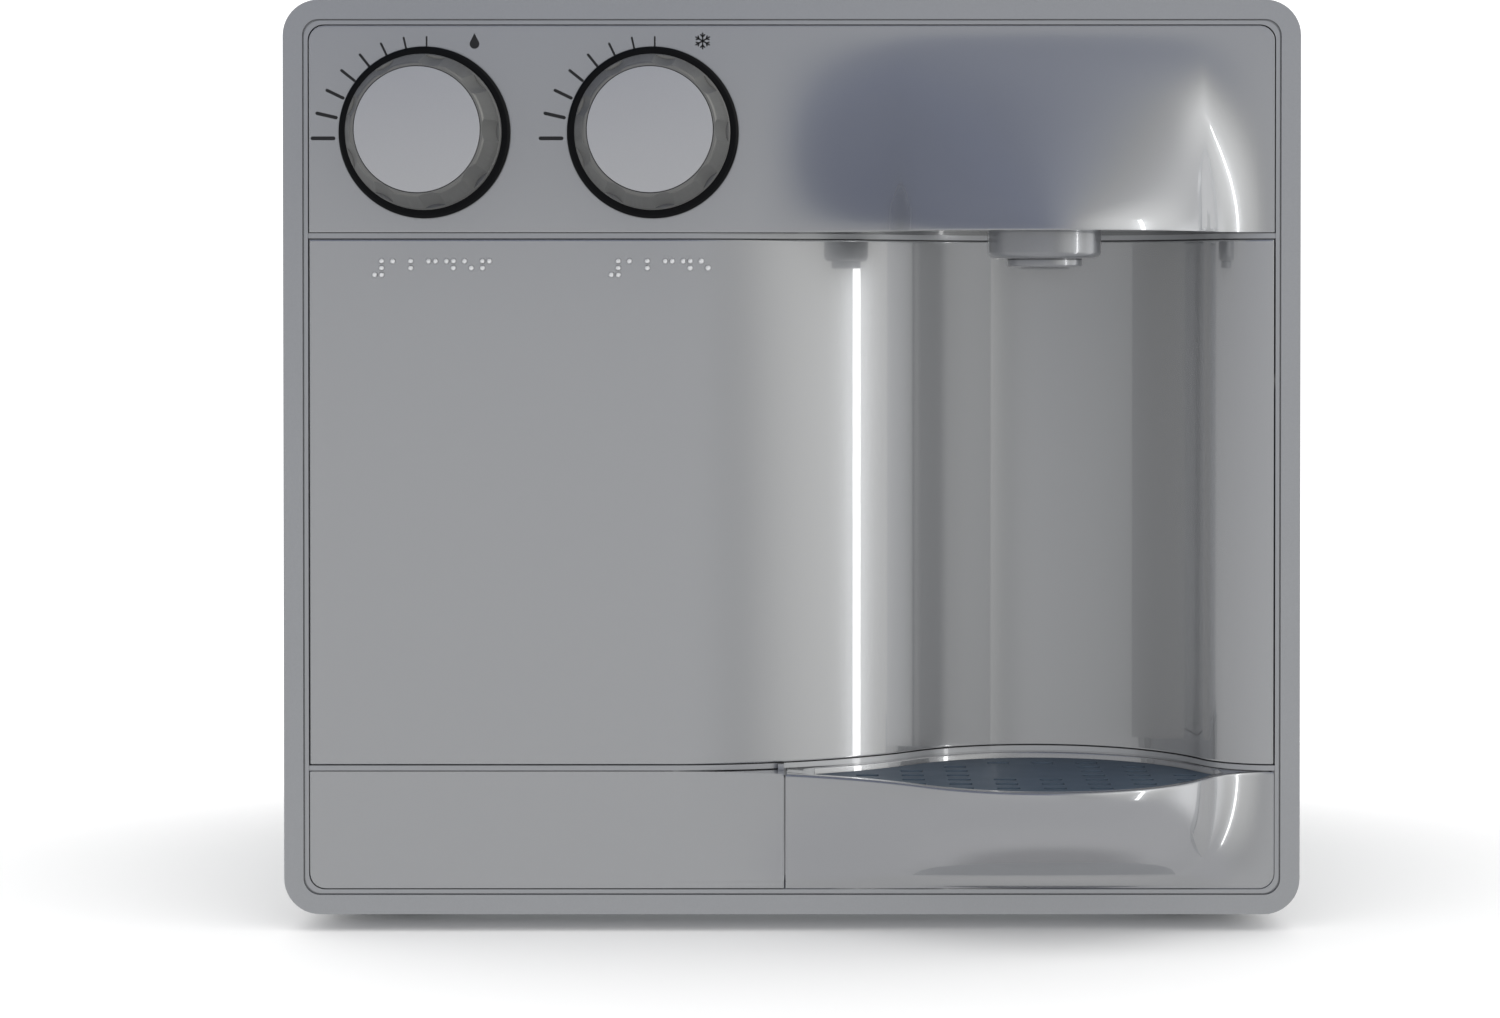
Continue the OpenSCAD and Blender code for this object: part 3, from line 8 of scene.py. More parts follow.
import bpy
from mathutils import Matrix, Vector

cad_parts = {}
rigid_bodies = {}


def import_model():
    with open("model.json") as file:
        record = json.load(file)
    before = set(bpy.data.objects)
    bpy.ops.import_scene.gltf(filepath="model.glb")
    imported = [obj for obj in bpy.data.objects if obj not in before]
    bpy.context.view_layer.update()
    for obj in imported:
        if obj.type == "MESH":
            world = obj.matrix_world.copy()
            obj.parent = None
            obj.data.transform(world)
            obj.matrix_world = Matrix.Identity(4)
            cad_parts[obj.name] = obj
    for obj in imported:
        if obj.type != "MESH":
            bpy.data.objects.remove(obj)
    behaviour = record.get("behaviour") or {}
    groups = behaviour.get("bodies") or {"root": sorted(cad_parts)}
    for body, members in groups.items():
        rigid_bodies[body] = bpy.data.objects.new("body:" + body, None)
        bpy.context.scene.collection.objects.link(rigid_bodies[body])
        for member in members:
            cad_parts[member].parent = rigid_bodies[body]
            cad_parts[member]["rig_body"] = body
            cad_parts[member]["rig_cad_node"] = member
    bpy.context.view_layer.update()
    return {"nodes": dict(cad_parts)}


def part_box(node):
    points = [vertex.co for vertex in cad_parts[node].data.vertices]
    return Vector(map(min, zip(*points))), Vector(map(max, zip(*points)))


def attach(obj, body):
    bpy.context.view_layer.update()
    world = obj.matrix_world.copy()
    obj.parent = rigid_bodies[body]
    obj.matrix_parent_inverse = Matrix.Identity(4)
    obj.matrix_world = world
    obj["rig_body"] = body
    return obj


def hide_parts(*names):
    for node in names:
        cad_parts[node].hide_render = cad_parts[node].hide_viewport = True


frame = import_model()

bl_info = {
    "name": "Water dispenser dressing",
    "version": (1, 0, 0),
    "blender": (4, 5, 0),
    "location": "View3D > Sidebar > Dispenser",
    "description": "Models the shells, markings and finishes of a countertop water dispenser on its frame",
    "category": "Object",
}

MM = 0.001

# Places that the frame gives
RIM_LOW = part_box("front_frame")[0]
PANEL_LOW, PANEL_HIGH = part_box("front_panel")
FASCIA_LOW, FASCIA_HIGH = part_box("control_fascia")
COVER_LOW, COVER_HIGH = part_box("lower_cover")
TRAY_LOW, TRAY_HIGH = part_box("drip_tray")
GRILLE_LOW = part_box("drip_grille")[0]
FACE_Y = PANEL_LOW.y
BODY = "cabinet"


def middle(node):
    """Centre of a node's box."""
    low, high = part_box(node)
    return (low + high) / 2


def linear(code):
    """Linear colour of an sRGB hex value."""
    channels = [int(code[i:i + 2], 16) / 255 for i in (1, 3, 5)]
    return [c / 12.92 if c <= 0.04045 else ((c + 0.055) / 1.055) ** 2.4 for c in channels]


def length(name, description, default):
    """A length that the user may change, in metres."""
    return bpy.props.FloatProperty(
        name=name, description=description, default=default, unit="LENGTH", precision=5
    )


def colour(name, description, code):
    """A colour that the user may change, given as an sRGB hex value."""
    return bpy.props.FloatVectorProperty(
        name=name, description=description, default=linear(code), subtype="COLOR", size=3, min=0, max=1
    )


class DispenserSizes(bpy.types.PropertyGroup):
    """Sizes of the shells and markings."""

    niche_x: length("Niche middle", "X of the niche's middle", 83.7 * MM)
    niche_r: length("Niche radius", "Radius of the niche's round back", 59 * MM)
    niche_depth: length("Niche depth", "Depth of the niche behind the panel's face", 51.4 * MM)
    niche_lead: length("Niche lead", "Run of the S-curve at the niche's left", 124.7 * MM)
    right_lead: length("Right lead", "Run of the S-curve at the niche's right", 77.4 * MM)
    swell: length("Swell", "How far the hood and the tray stand out", 50 * MM)
    hood_lead: length("Hood lead", "Run of the S-curve at the hood's left", 97.7 * MM)
    hood_bias: bpy.props.FloatProperty(
        name="Hood bias", description="Where the hood is steepest: above 1 is nearer to its lip", default=1.35
    )
    tray_bias: bpy.props.FloatProperty(
        name="Tray bias", description="Where the tray is steepest: under 1 is nearer to its foot", default=0.7
    )
    corner_r: length("Shell corner", "Corner radius of the fascia, the cover and the tray", 5.1 * MM)
    panel_t: length("Panel thickness", "Thickness of the panel and the cover", 2.2 * MM)
    fascia_t: length("Fascia thickness", "Thickness of the fascia", 3 * MM)
    edge: length("Shell edge", "Rounding along the shells' edges", 0.4 * MM)
    support: length("Edge margin", "Flat margin inside a shell's edge", 0.7 * MM)
    tray_tip: length("Tray tip", "Depth of the tray at its ends", 14 * MM)
    tray_front_t: length("Tray front wall", "Thickness of the tray's front wall", 4 * MM)
    tray_wall: length("Tray back wall", "Thickness of the tray's back wall", 2 * MM)
    seat_w: length("Grille seat", "Width of the seat under the grille", 2 * MM)
    basin_in: length("Basin inset", "How far the basin's ends lie inside the grille's", 24 * MM)
    recess_left: length("Recess left", "Reach of the tray's recess left of the niche's middle", 76 * MM)
    recess_right: length("Recess right", "Reach of the tray's recess right of the niche's middle", 60 * MM)
    lip_r: length("Lip radius", "Rounding of the tray's upper edges", 0.8 * MM)
    mark_r: length("Mark start", "Radius where the dial marks start", 30.5 * MM)
    mark_long: length("Longest mark", "Length of the first dial mark", 8.3 * MM)
    mark_short: length("Shortest mark", "Length of the last dial mark", 3.6 * MM)
    mark_wide: length("Widest mark", "Width of the first dial mark", 1.25 * MM)
    mark_thin: length("Thinnest mark", "Width of the last dial mark", 0.55 * MM)
    ink_t: length("Ink", "Thickness of the printed ink", 0.06 * MM)
    icon_h: length("Icon height", "Height of the printed icons", 5.2 * MM)
    dot_r: length("Dot radius", "Radius of a tactile dot", 0.9 * MM)
    dot_h: length("Dot height", "Height of a tactile dot", 0.8 * MM)
    dot_pitch: length("Dot pitch", "Distance between the dots of one cell", 2.27 * MM)
    cell_pitch: length("Cell pitch", "Distance between cells", 6.0 * MM)


class DispenserColours(bpy.types.PropertyGroup):
    """Colours of the finishes."""

    silver: colour("Silver paint", "Metallic paint of the shells", "#b0b2b5")
    spout: colour("Spout paint", "Metallic paint of the spout", "#989a9e")
    knob: colour("Knob paint", "Satin paint of the knobs", "#858583")
    dots: colour("Dot lacquer", "Lacquer of the tactile dots", "#d6d7d9")
    cap: colour("Knob cap", "Lacquer of the knobs' caps", "#c1c2c5")
    black: colour("Gloss black", "Moulded rings behind the knobs", "#0b0c0e")
    slate: colour("Slate", "Moulded grille", "#485563")
    ink: colour("Ink", "Printed marks", "#17181b")
    cabinet: colour("Powder coat", "Cabinet sheet", "#5f6367")
    white: colour("White plastic", "Water fittings", "#e4e5e3")
    rubber: colour("Rubber", "Feet and spacers", "#1d1d1f")
    floor: colour("Floor", "Pale floor", "#fbfbfb")


def sizes():
    """The sizes as the user has set them."""
    return bpy.context.scene.dispenser_sizes


def colours():
    """The colours as the user has set them."""
    return bpy.context.scene.dispenser_colours


# Shapes of the front

def turn_radius(depth, lead):
    """Radius of the S-curve's outer turn, which meets the niche's round back smoothly."""
    radius = sizes().niche_r
    return (lead ** 2 + (radius - depth) ** 2 - radius ** 2) / (2 * depth)


def dip(x, depth, lead):
    """Distance of the S-curve from the flat face at x, for a niche or a swell of this depth."""
    s = sizes()
    u = x - s.niche_x
    left_r = turn_radius(depth, lead)
    right_r = turn_radius(depth, s.right_lead)
    left = -s.niche_r * lead / (s.niche_r + left_r)
    right = s.niche_r * s.right_lead / (s.niche_r + right_r)
    if u <= -lead or u >= s.right_lead:
        return 0.0
    if u < left:
        return left_r - math.sqrt(left_r ** 2 - (u + lead) ** 2)
    if u > right:
        return right_r - math.sqrt(right_r ** 2 - (s.right_lead - u) ** 2)
    return depth - s.niche_r + math.sqrt(s.niche_r ** 2 - u ** 2)


def ease(share):
    """Smooth step from 0 to 1."""
    return share * share * (3 - 2 * share)


def niche_front(x):
    """Y of the panel's face."""
    s = sizes()
    return FACE_Y + dip(x, s.niche_depth, s.niche_lead)


def lower_front(x, z):
    """Y of the face of the lower cover and the tray."""
    s = sizes()
    share = max(z - TRAY_LOW.z, 0) / (TRAY_HIGH.z - TRAY_LOW.z)
    return FACE_Y - dip(x, s.swell, s.niche_lead) * ease(share ** s.tray_bias)


def fascia_front(x, z):
    """Y of the face of the fascia and its hood."""
    s = sizes()
    share = max(FASCIA_HIGH.z - z, 0) / (FASCIA_HIGH.z - FASCIA_LOW.z)
    return FACE_Y - dip(x, s.swell, s.hood_lead) * ease(share ** s.hood_bias)


def evenly(start, end, steps):
    """Values from start to end in equal steps, both ends included."""
    return [start + (end - start) * i / steps for i in range(steps + 1)]


CORNER_STEPS = 5


def corner_columns(edge):
    """X of the columns round a corner, from its straight part out to the edge."""
    r = sizes().corner_r
    return [edge - r + r * math.sin(math.pi / 2 * i / CORNER_STEPS) for i in range(1, CORNER_STEPS + 1)]


def corner_drop(past):
    """How far a rounded corner has fallen at a distance past its straight part."""
    r = sizes().corner_r
    return r - math.sqrt(max(r * r - past * past, 0)) if past > 0 else 0.0


def margin_rows(low, high, steps):
    """Values from low to high with a narrow margin at both ends."""
    margin = sizes().support
    return [low, *evenly(low + margin, high - margin, steps), high]


# Modelling steps that the pieces share

# Points closer than this are one point, in a new mesh and in a node's copy
WELD = 0.001 * MM
NODE_WELD = 0.002 * MM
# Faces that meet flatter than this are made one
FLAT_ANGLE = math.radians(0.6)
# Edges sharper than this are rounded, in degrees
NODE_SHARP = 35
SHELL_SHARP = 40


def deselect():
    """Leaves nothing selected, in object mode."""
    if bpy.context.object and bpy.context.object.mode != "OBJECT":
        bpy.ops.object.mode_set(mode="OBJECT")
    bpy.ops.object.select_all(action="DESELECT")


def pick(obj):
    """Makes one object the only selected one."""
    deselect()
    obj.select_set(True)
    bpy.context.view_layer.objects.active = obj


@contextmanager
def editing(obj):
    """Opens one object in edit mode with all of it selected, and closes it again."""
    pick(obj)
    bpy.ops.object.mode_set(mode="EDIT")
    bpy.ops.mesh.select_all(action="SELECT")
    yield
    bpy.ops.object.mode_set(mode="OBJECT")


def rename(obj, name):
    """Names an object and its mesh."""
    obj.name = name
    obj.data.name = name
    return obj


def shaped_grid(name, columns, rows, point):
    """A grid primitive whose vertices are carried to point(column, row)."""
    deselect()
    bpy.ops.mesh.primitive_grid_add(x_subdivisions=len(columns) - 1, y_subdivisions=len(rows) - 1, size=1)
    obj = rename(bpy.context.object, name)
    places = [c for row in rows for column in columns for c in point(column, row)]
    obj.data.vertices.foreach_set("co", places)
    obj.data.update()
    return obj


def modify(obj, kind, **settings):
    """Adds a modifier with its settings and applies it."""
    pick(obj)
    made = obj.modifiers.new(kind.title(), kind)
    for name, value in settings.items():
        setattr(made, name, value)
    bpy.ops.object.modifier_apply(modifier=made.name)


def round_edges(obj, width, segments, sharp):
    """Rounds the sharp edges, and keeps the flat faces flat to the eye."""
    modify(
        obj, "BEVEL", width=width, segments=segments, limit_method="ANGLE", angle_limit=math.radians(sharp),
        use_clamp_overlap=True, miter_outer="MITER_ARC",
    )
    bpy.ops.object.shade_smooth()
    modify(obj, "WEIGHTED_NORMAL", mode="FACE_AREA", weight=80, keep_sharp=False)


def face_out(obj):
    """Merges doubled points and turns every face outwards."""
    with editing(obj):
        bpy.ops.mesh.remove_doubles(threshold=WELD)
        bpy.ops.mesh.normals_make_consistent(inside=False)


def flip_to_front(obj):
    """Turns an open sheet so that its faces look to the front."""
    total = sum((p.normal * p.area for p in obj.data.polygons), Vector())
    if total.y > 0:
        with editing(obj):
            bpy.ops.mesh.flip_normals()


def settle(obj):
    """Puts the object's place into its mesh."""
    pick(obj)
    bpy.ops.object.transform_apply(location=True, rotation=True, scale=True)


def join(objects, name):
    """Joins objects into one piece."""
    deselect()
    for obj in objects:
        obj.select_set(True)
    bpy.context.view_layer.objects.active = objects[0]
    bpy.ops.object.join()
    return rename(bpy.context.object, name)


def dress(obj, material, body, slot, *nodes):
    """Gives a piece its material, the body it rides on and the nodes that it stands for. The slot is not
    used.
    """
    obj.data.materials.clear()
    obj.data.materials.append(material)
    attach(obj, body)
    if nodes:
        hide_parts(*nodes)
    return obj


def unmirrored(obj):
    """Keeps a piece out of its neighbours' reflections, so that the niche and the hood mirror the room."""
    obj.visible_glossy = False
    return obj


def softened(node, width, segments, sharp=NODE_SHARP):
    """A copy of a node with its flat faces made whole and its sharp edges rounded."""
    pick(frame["nodes"][node])
    bpy.ops.object.duplicate()
    obj = rename(bpy.context.object, node + "_finished")
    obj.parent = None
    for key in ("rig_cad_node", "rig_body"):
        del obj[key]
    bpy.ops.mesh.customdata_custom_splitnormals_clear()
    with editing(obj):
        bpy.ops.mesh.remove_doubles(threshold=NODE_WELD)
        bpy.ops.mesh.dissolve_limited(angle_limit=FLAT_ANGLE)
    round_edges(obj, width, segments, sharp)
    return obj


def shell(name, columns, rows, point, thickness):
    """A closed shell behind a shaped grid, with its edges rounded."""
    obj = shaped_grid(name, columns, rows, point)
    face_out(obj)
    flip_to_front(obj)
    modify(obj, "SOLIDIFY", thickness=thickness, offset=-1.0, use_even_offset=True)
    round_edges(obj, sizes().edge, 2, SHELL_SHARP)
    return obj


# Materials

def fill(tree, node, values):
    """Sets a node's inputs, or links them where the value is a socket."""
    for name, value in values.items():
        if isinstance(value, bpy.types.NodeSocket):
            tree.links.new(value, node.inputs[name])
        else:
            node.inputs[name].default_value = value


def add(tree, kind, inputs=None, **settings):
    """Adds one shader node with its settings; an input is a value, or a socket to link from."""
    made = tree.nodes.new("ShaderNode" + kind)
    for name, value in settings.items():
        setattr(made, name, value)
    fill(tree, made, inputs or {})
    return made


def started(name):
    """A new material with its tree, its shader and its object coordinates."""
    material = bpy.data.materials.new(name)
    material.use_nodes = True
    tree = material.node_tree
    return material, tree, tree.nodes["Principled BSDF"], add(tree, "TexCoord").outputs["Object"]


def per(size_mm):
    """Texture scale of a pattern whose features are this many millimetres."""
    return 1 / (size_mm * MM)


def tones(base, *gains):
    """A colour with full alpha, made lighter or darker by each gain."""
    return [(*[min(c * gain, 1.0) for c in base], 1.0) for gain in gains]


def shades(*codes):
    """Colours with full alpha of sRGB hex values."""
    return [(*linear(code), 1.0) for code in codes]


def speckle(tree, coords, size_mm, low, high):
    """Colour that wanders between two values over features of a real size."""
    noise = add(tree, "TexNoise", {"Vector": coords, "Scale": per(size_mm), "Detail": 2})
    mix = add(tree, "Mix", {"Factor": noise.outputs["Fac"], "A": low, "B": high}, data_type="RGBA")
    return mix.outputs[2]


def painted_gap_shade(tree, shade, reach_mm, depth, closed=0.15, clear=0.75):
    """Painted shade: colour that darkens where ambient occlusion finds other surfaces close by, in narrow
    gaps and at the feet of raised parts.
    """
    open_share = add(tree, "AmbientOcclusion", {"Distance": reach_mm * MM}, samples=6).outputs["AO"]
    near = add(tree, "MapRange", {
        "Value": open_share, "From Min": closed, "From Max": clear, "To Min": depth,
    })
    mix = add(tree, "Mix", {"Factor": 1.0, "A": shade, "B": near.outputs[0]}, data_type="RGBA",
              blend_type="MULTIPLY")
    return mix.outputs[2]


def painted_recess_shade(tree, coords, shade, depth_mm, share):
    """Painted shade: colour that falls to a share of itself at a depth behind the face, darker deeper in the
    niche's recess.
    """
    y = add(tree, "SeparateXYZ", {0: coords}).outputs[1]
    fall = add(tree, "MapRange", {
        "Value": y, "From Min": FACE_Y, "From Max": FACE_Y + depth_mm * MM, "To Min": 1.0, "To Max": share,
    })
    mix = add(tree, "Mix", {"Factor": 1.0, "A": shade, "B": fall.outputs[0]}, data_type="RGBA",
              blend_type="MULTIPLY")
    return mix.outputs[2]


def wander(tree, coords, size_mm, low, high):
    """A number that wanders between two values over features of a real size."""
    noise = add(tree, "TexNoise", {"Vector": coords, "Scale": per(size_mm), "Detail": 3})
    spread = add(tree, "MapRange", {"Value": noise.outputs["Fac"], "To Min": low, "To Max": high})
    return spread.outputs[0]


def relief(tree, coords, size_mm, depth_mm, strength, detail=3):
    """Normal of a fine bump with features and depth of a real size."""
    noise = add(tree, "TexNoise", {"Vector": coords, "Scale": per(size_mm), "Detail": detail})
    bump = add(tree, "Bump", {
        "Height": noise.outputs["Fac"], "Strength": strength, "Distance": depth_mm * MM,
    })
    return bump.outputs["Normal"]


def finish(name, pair, grain_mm, rough, bump=None, gap_shade=None, recess_shade=None, sockets=None):
    """A material with a speckle of two colours and painted shade; the rest is what wander, relief,
    painted_gap_shade and painted_recess_shade take.
    """
    material, tree, shader, coords = started(name)
    shade = speckle(tree, coords, grain_mm, *pair)
    # Painted shade: the colour is darkened deep in the niche's recess and in narrow gaps
    if recess_shade:
        shade = painted_recess_shade(tree, coords, shade, *recess_shade)
    if gap_shade:
        shade = painted_gap_shade(tree, shade, *gap_shade)
    fill(tree, shader, {"Base Color": shade, "Roughness": wander(tree, coords, *rough), **(sockets or {})})
    if bump:
        fill(tree, shader, {"Normal": relief(tree, coords, *bump)})
    return material


# Each material is made the first time that it is asked for

@cache
def silver_paint():
    """Moulded ABS, sprayed metallic silver under clear lacquer: cool grey, near-mirror, faintly flaked."""
    # Flakes are 0.05 mm; they are drawn ten times coarser so that they show
    # Painted shade: darker in narrow gaps and deeper in the niche's recess
    return finish(
        "abs_metallic_silver_lacquered", tones(colours().silver, 0.98, 1.02), 0.5, rough=(60, 0.24, 0.28),
        bump=(9.0, 0.003, 0.25, 0), gap_shade=(1.0, 0.15), recess_shade=(45, 0.84),
        sockets={"Metallic": 0.85, "Coat Weight": 1.0, "Coat IOR": 2.3, "Coat Roughness": 0.03},
    )


@cache
def frame_paint():
    """The same paint on the frame, a little more satin, with light wear in its roughness."""
    # Painted shade: darker in the frame's grooves and narrow gaps
    return finish(
        "abs_satin_silver_painted", tones(colours().silver, 1.03, 1.13), 0.5, rough=(30, 0.34, 0.4),
        bump=(2.0, 0.004, 0.3), gap_shade=(1.0, 0.15),
        sockets={"Metallic": 0.85, "Coat Weight": 0.6, "Coat IOR": 1.8, "Coat Roughness": 0.06},
    )


@cache
def spout_paint():
    """The shells' paint on the spout, a tone darker: glossy, with clear upright highlights."""
    # Painted shade: darker in narrow gaps round the spout
    return finish(
        "abs_metallic_grey_lacquered", tones(colours().spout, 0.95, 1.05), 0.5, rough=(20, 0.26, 0.32),
        gap_shade=(1.5, 0.2),
        sockets={"Metallic": 0.85, "Coat Weight": 1.0, "Coat IOR": 1.8, "Coat Roughness": 0.03},
    )


@cache
def knob_paint():
    """Satin metallic paint on the moulded grips: soft broad highlights."""
    # Painted shade: darker in narrow gaps round the grips
    return finish(
        "abs_satin_grey_painted", tones(colours().knob, 0.94, 1.06), 0.4, rough=(12, 0.36, 0.44),
        bump=(1.0, 0.004, 0.3), gap_shade=(1.5, 0.15), sockets={"Metallic": 0.8},
    )


@cache
def dot_lacquer():
    """Pale lacquer on the raised dots, with painted shade that darkens the foot round each dot."""
    return finish(
        "abs_raised_dots_lacquered", tones(colours().dots, 0.97, 1.03), 0.4, rough=(3, 0.28, 0.34),
        gap_shade=(1.2, 0.02, 0.72, 0.97), sockets={"Metallic": 0.2, "Coat Weight": 0.5, "Coat Roughness": 0.05},
    )


@cache
def cap_lacquer():
    """Fine satin lacquer on the knobs' flat caps: pale and even, with a soft sheen."""
    # Painted shade: darker in the narrow gap round each cap
    return finish(
        "abs_fine_satin_lacquered", tones(colours().cap, 0.97, 1.03), 0.4, rough=(10, 0.3, 0.36),
        bump=(0.6, 0.003, 0.3), gap_shade=(0.8, 0.1), sockets={"Metallic": 0.75},
    )


@cache
def gloss_black():
    """Moulded black ABS: deep black with a clear gloss and faint moulding waves."""
    return finish(
        "abs_black_gloss_moulded", tones(colours().black, 0.9, 1.2), 6, rough=(8, 0.3, 0.38),
        bump=(3.0, 0.01, 0.3), sockets={"Specular IOR Level": 0.12},
    )


@cache
def slate_plastic():
    """Moulded slate polypropylene: dull blue-grey with a fine spark-eroded grain and water marks."""
    # Painted shade: darker in the slots and where the grille lies near the tray's walls
    return finish(
        "polypropylene_slate_grained", tones(colours().slate, 0.85, 1.1), 14, rough=(9, 0.42, 0.52),
        bump=(0.5, 0.02, 0.3), gap_shade=(4.0, 0.05), sockets={"IOR": 1.49, "Specular IOR Level": 0.2},
    )


@cache
def print_ink():
    """Pad-printed ink: dense charcoal, slightly raised and dull."""
    return finish("ink_charcoal_pad_printed", tones(colours().ink, 0.9, 1.15), 0.8, rough=(2, 0.4, 0.55))


@cache
def pale_ink():
    """Screen-printed white ink on the powder coat: chalky, a little thin."""
    return finish("ink_white_screen_printed", tones(colours().white, 0.8, 0.95), 0.8, rough=(2, 0.5, 0.65))


@cache
def powder_coat():
    """Steel sheet, powder coated: mid grey with a fine orange-peel texture."""
    # The grain is 0.3 mm; its bump is drawn at 1 mm so that it shows
    return finish(
        "steel_grey_powder_coated", tones(colours().cabinet, 0.9, 1.08), 0.9, rough=(25, 0.42, 0.52),
        bump=(1.0, 0.05, 0.35), sockets={"IOR": 1.5},
    )


@cache
def black_rubber():
    """Moulded nitrile rubber: soft black with a dusty bloom."""
    return finish(
        "rubber_black_moulded", tones(colours().rubber, 0.9, 1.7), 5, rough=(6, 0.62, 0.8),
        bump=(0.7, 0.04, 0.4), sockets={"IOR": 1.52},
    )


@cache
def white_plastic():
    """Moulded polypropylene for water: milky white, a little waxy."""
    return finish(
        "polypropylene_white_moulded", tones(colours().white, 0.94, 1.03), 8, rough=(7, 0.32, 0.44),
        bump=(1.2, 0.01, 0.3),
        sockets={"IOR": 1.49, "Subsurface Weight": 0.08, "Subsurface Radius": (2 * MM, 2 * MM, 2 * MM)},
    )


@cache
def black_plastic():
    """Moulded black polyamide: near black, dull, with a fine texture."""
    return finish(
        "polyamide_black_textured", shades("#161618", "#232427"), 3, rough=(5, 0.42, 0.56),
        bump=(0.6, 0.04, 0.4), sockets={"IOR": 1.53},
    )


@cache
def zinc_steel():
    """Zinc-plated steel: bright blue-grey with faint spangle."""
    material, tree, shader, coords = started("steel_zinc_plated")
    low, high = shades("#a7abad", "#c3c6c7")
    spangle = add(tree, "TexVoronoi", {"Vector": coords, "Scale": per(5)}).outputs["Distance"]
    shade = add(tree, "Mix", {"Factor": spangle, "A": low, "B": high}, data_type="RGBA")
    fill(tree, shader, {
        "Base Color": shade.outputs[2],
        "Metallic": 0.95,
        "Roughness": wander(tree, coords, 4, 0.28, 0.42),
        "Normal": relief(tree, coords, 0.8, 0.01, 0.3),
    })
    return material


@cache
def turned_brass():
    """Turned brass: warm yellow with fine lathe lines and a little tarnish."""
    material, tree, shader, coords = started("brass_turned")
    lines = add(tree, "TexWave", {"Vector": coords, "Scale": per(1.2), "Distortion": 0.4},
                bands_direction="Y")
    bump = add(tree, "Bump", {"Height": lines.outputs["Fac"], "Strength": 0.2, "Distance": 0.01 * MM})
    fill(tree, shader, {
        "Base Color": speckle(tree, coords, 6, *shades("#a88b4c", "#c8ab64")),
        "Metallic": 1.0,
        "Roughness": wander(tree, coords, 5, 0.24, 0.4),
        "Normal": bump.outputs["Normal"],
    })
    return material


@cache
def drawn_copper():
    """Drawn copper tube: warm red-brown, brighter and darker in patches."""
    return finish(
        "copper_drawn", shades("#9c5a3a", "#c67f57"), 14, rough=(10, 0.25, 0.45),
        bump=(1.5, 0.01, 0.3), sockets={"Metallic": 1.0},
    )


@cache
def stainless():
    """Deep-drawn stainless steel: pale and bright, with upright brush lines."""
    material, tree, shader, coords = started("steel_stainless_brushed")
    stretched = add(tree, "Mapping", {"Vector": coords, "Scale": (1, 1, 0.02)}).outputs[0]
    fill(tree, shader, {
        "Base Color": speckle(tree, stretched, 0.6, *shades("#b4b6b7", "#cfd1d2")),
        "Metallic": 1.0,
        "Roughness": 0.3,
        "Anisotropic": 0.4,
        "Normal": relief(tree, stretched, 0.6, 0.01, 0.3),
    })
    return material


@cache
def cast_iron():
    """Cast iron as it leaves the sand: dark, rough and uneven."""
    return finish(
        "iron_sand_cast", shades("#3b3b3e", "#59595c"), 4, rough=(3, 0.55, 0.75),
        bump=(1.5, 0.2, 0.5), sockets={"Metallic": 0.6},
    )


@cache
def black_enamel():
    """Stoved black enamel on pressed steel: glossy with slight flow marks."""
    return finish(
        "steel_black_enamelled", shades("#141517", "#222326"), 12, rough=(9, 0.22, 0.34),
        bump=(5, 0.03, 0.3), sockets={"IOR": 1.5},
    )


@cache
def bead_foam():
    """Moulded expanded bead foam: white, matt, with the beads' outlines showing."""
    material, tree, shader, coords = started("polystyrene_bead_moulded")
    low, high = shades("#d2d2cc", "#f3f3ee")
    beads = add(tree, "TexVoronoi", {"Vector": coords, "Scale": per(4)}, feature="DISTANCE_TO_EDGE")
    seams = add(tree, "MapRange", {"Value": beads.outputs["Distance"], "From Max": 0.12}).outputs[0]
    shade = add(tree, "Mix", {"Factor": seams, "A": low, "B": high}, data_type="RGBA")
    bump = add(tree, "Bump", {"Height": seams, "Strength": 0.4, "Distance": 0.15 * MM})
    fill(tree, shader, {
        "Base Color": shade.outputs[2], "Roughness": 0.85, "Normal": bump.outputs["Normal"],
    })
    return material


@cache
def milky_hose():
    """Extruded polyethylene hose: milky and slightly glossy."""
    return finish(
        "polyethylene_milky_extruded", shades("#d3dade", "#e8edef"), 10, rough=(6, 0.25, 0.36),
        bump=(3, 0.01, 0.3),
        sockets={"IOR": 1.51, "Subsurface Weight": 0.2, "Subsurface Radius": (3 * MM, 3 * MM, 3 * MM)},
    )


# Nodes whose copies have rounded edges: the rounding in millimetres, its segments, finish, body and slot
ROUNDED = {
    "front_frame": (0.35, 2, frame_paint, BODY, "frame_abs"),
    "drip_grille": (0.4, 2, slate_plastic, "drip_grille", "grille_slate"),
    "spout_body": (0.3, 2, spout_paint, BODY, "spout_silver"),
    "spout_outlet": (0.3, 2, spout_paint, BODY, "spout_silver"),
    "spout_plate": (0.3, 2, silver_paint, BODY, "panel_silver"),
    "natural_dial_ring": (0.3, 3, gloss_black, BODY, "ring_black"),
    "cold_dial_ring": (0.3, 3, gloss_black, BODY, "ring_black"),
    "cabinet_wrap": (0.25, 2, powder_coat, BODY, "cabinet_paint"),
    "rear_panel": (0.25, 2, powder_coat, BODY, "cabinet_paint"),
    "base_plate": (0.3, 2, zinc_steel, BODY, "zinc_steel"),
    "rubber_feet": (0.6, 3, black_rubber, BODY, "seal_rubber"),
    "rear_spacers": (0.5, 3, black_rubber, BODY, "seal_rubber"),
    "cabinet_screws": (0.3, 3, zinc_steel, BODY, "zinc_steel"),
    "thermostat_knob": (0.3, 3, black_plastic, "thermostat_knob", "black_plastic"),
    "power_gland": (0.3, 3, black_plastic, BODY, "black_plastic"),
    "inlet_fitting": (0.3, 3, white_plastic, BODY, "water_white"),
}


def rounded(node):
    """A node's copy with rounded edges and its finish."""
    edge_mm, segments, material, body, slot = ROUNDED[node]
    return dress(softened(node, edge_mm * MM, segments), material(), body, slot, node)


# Operators

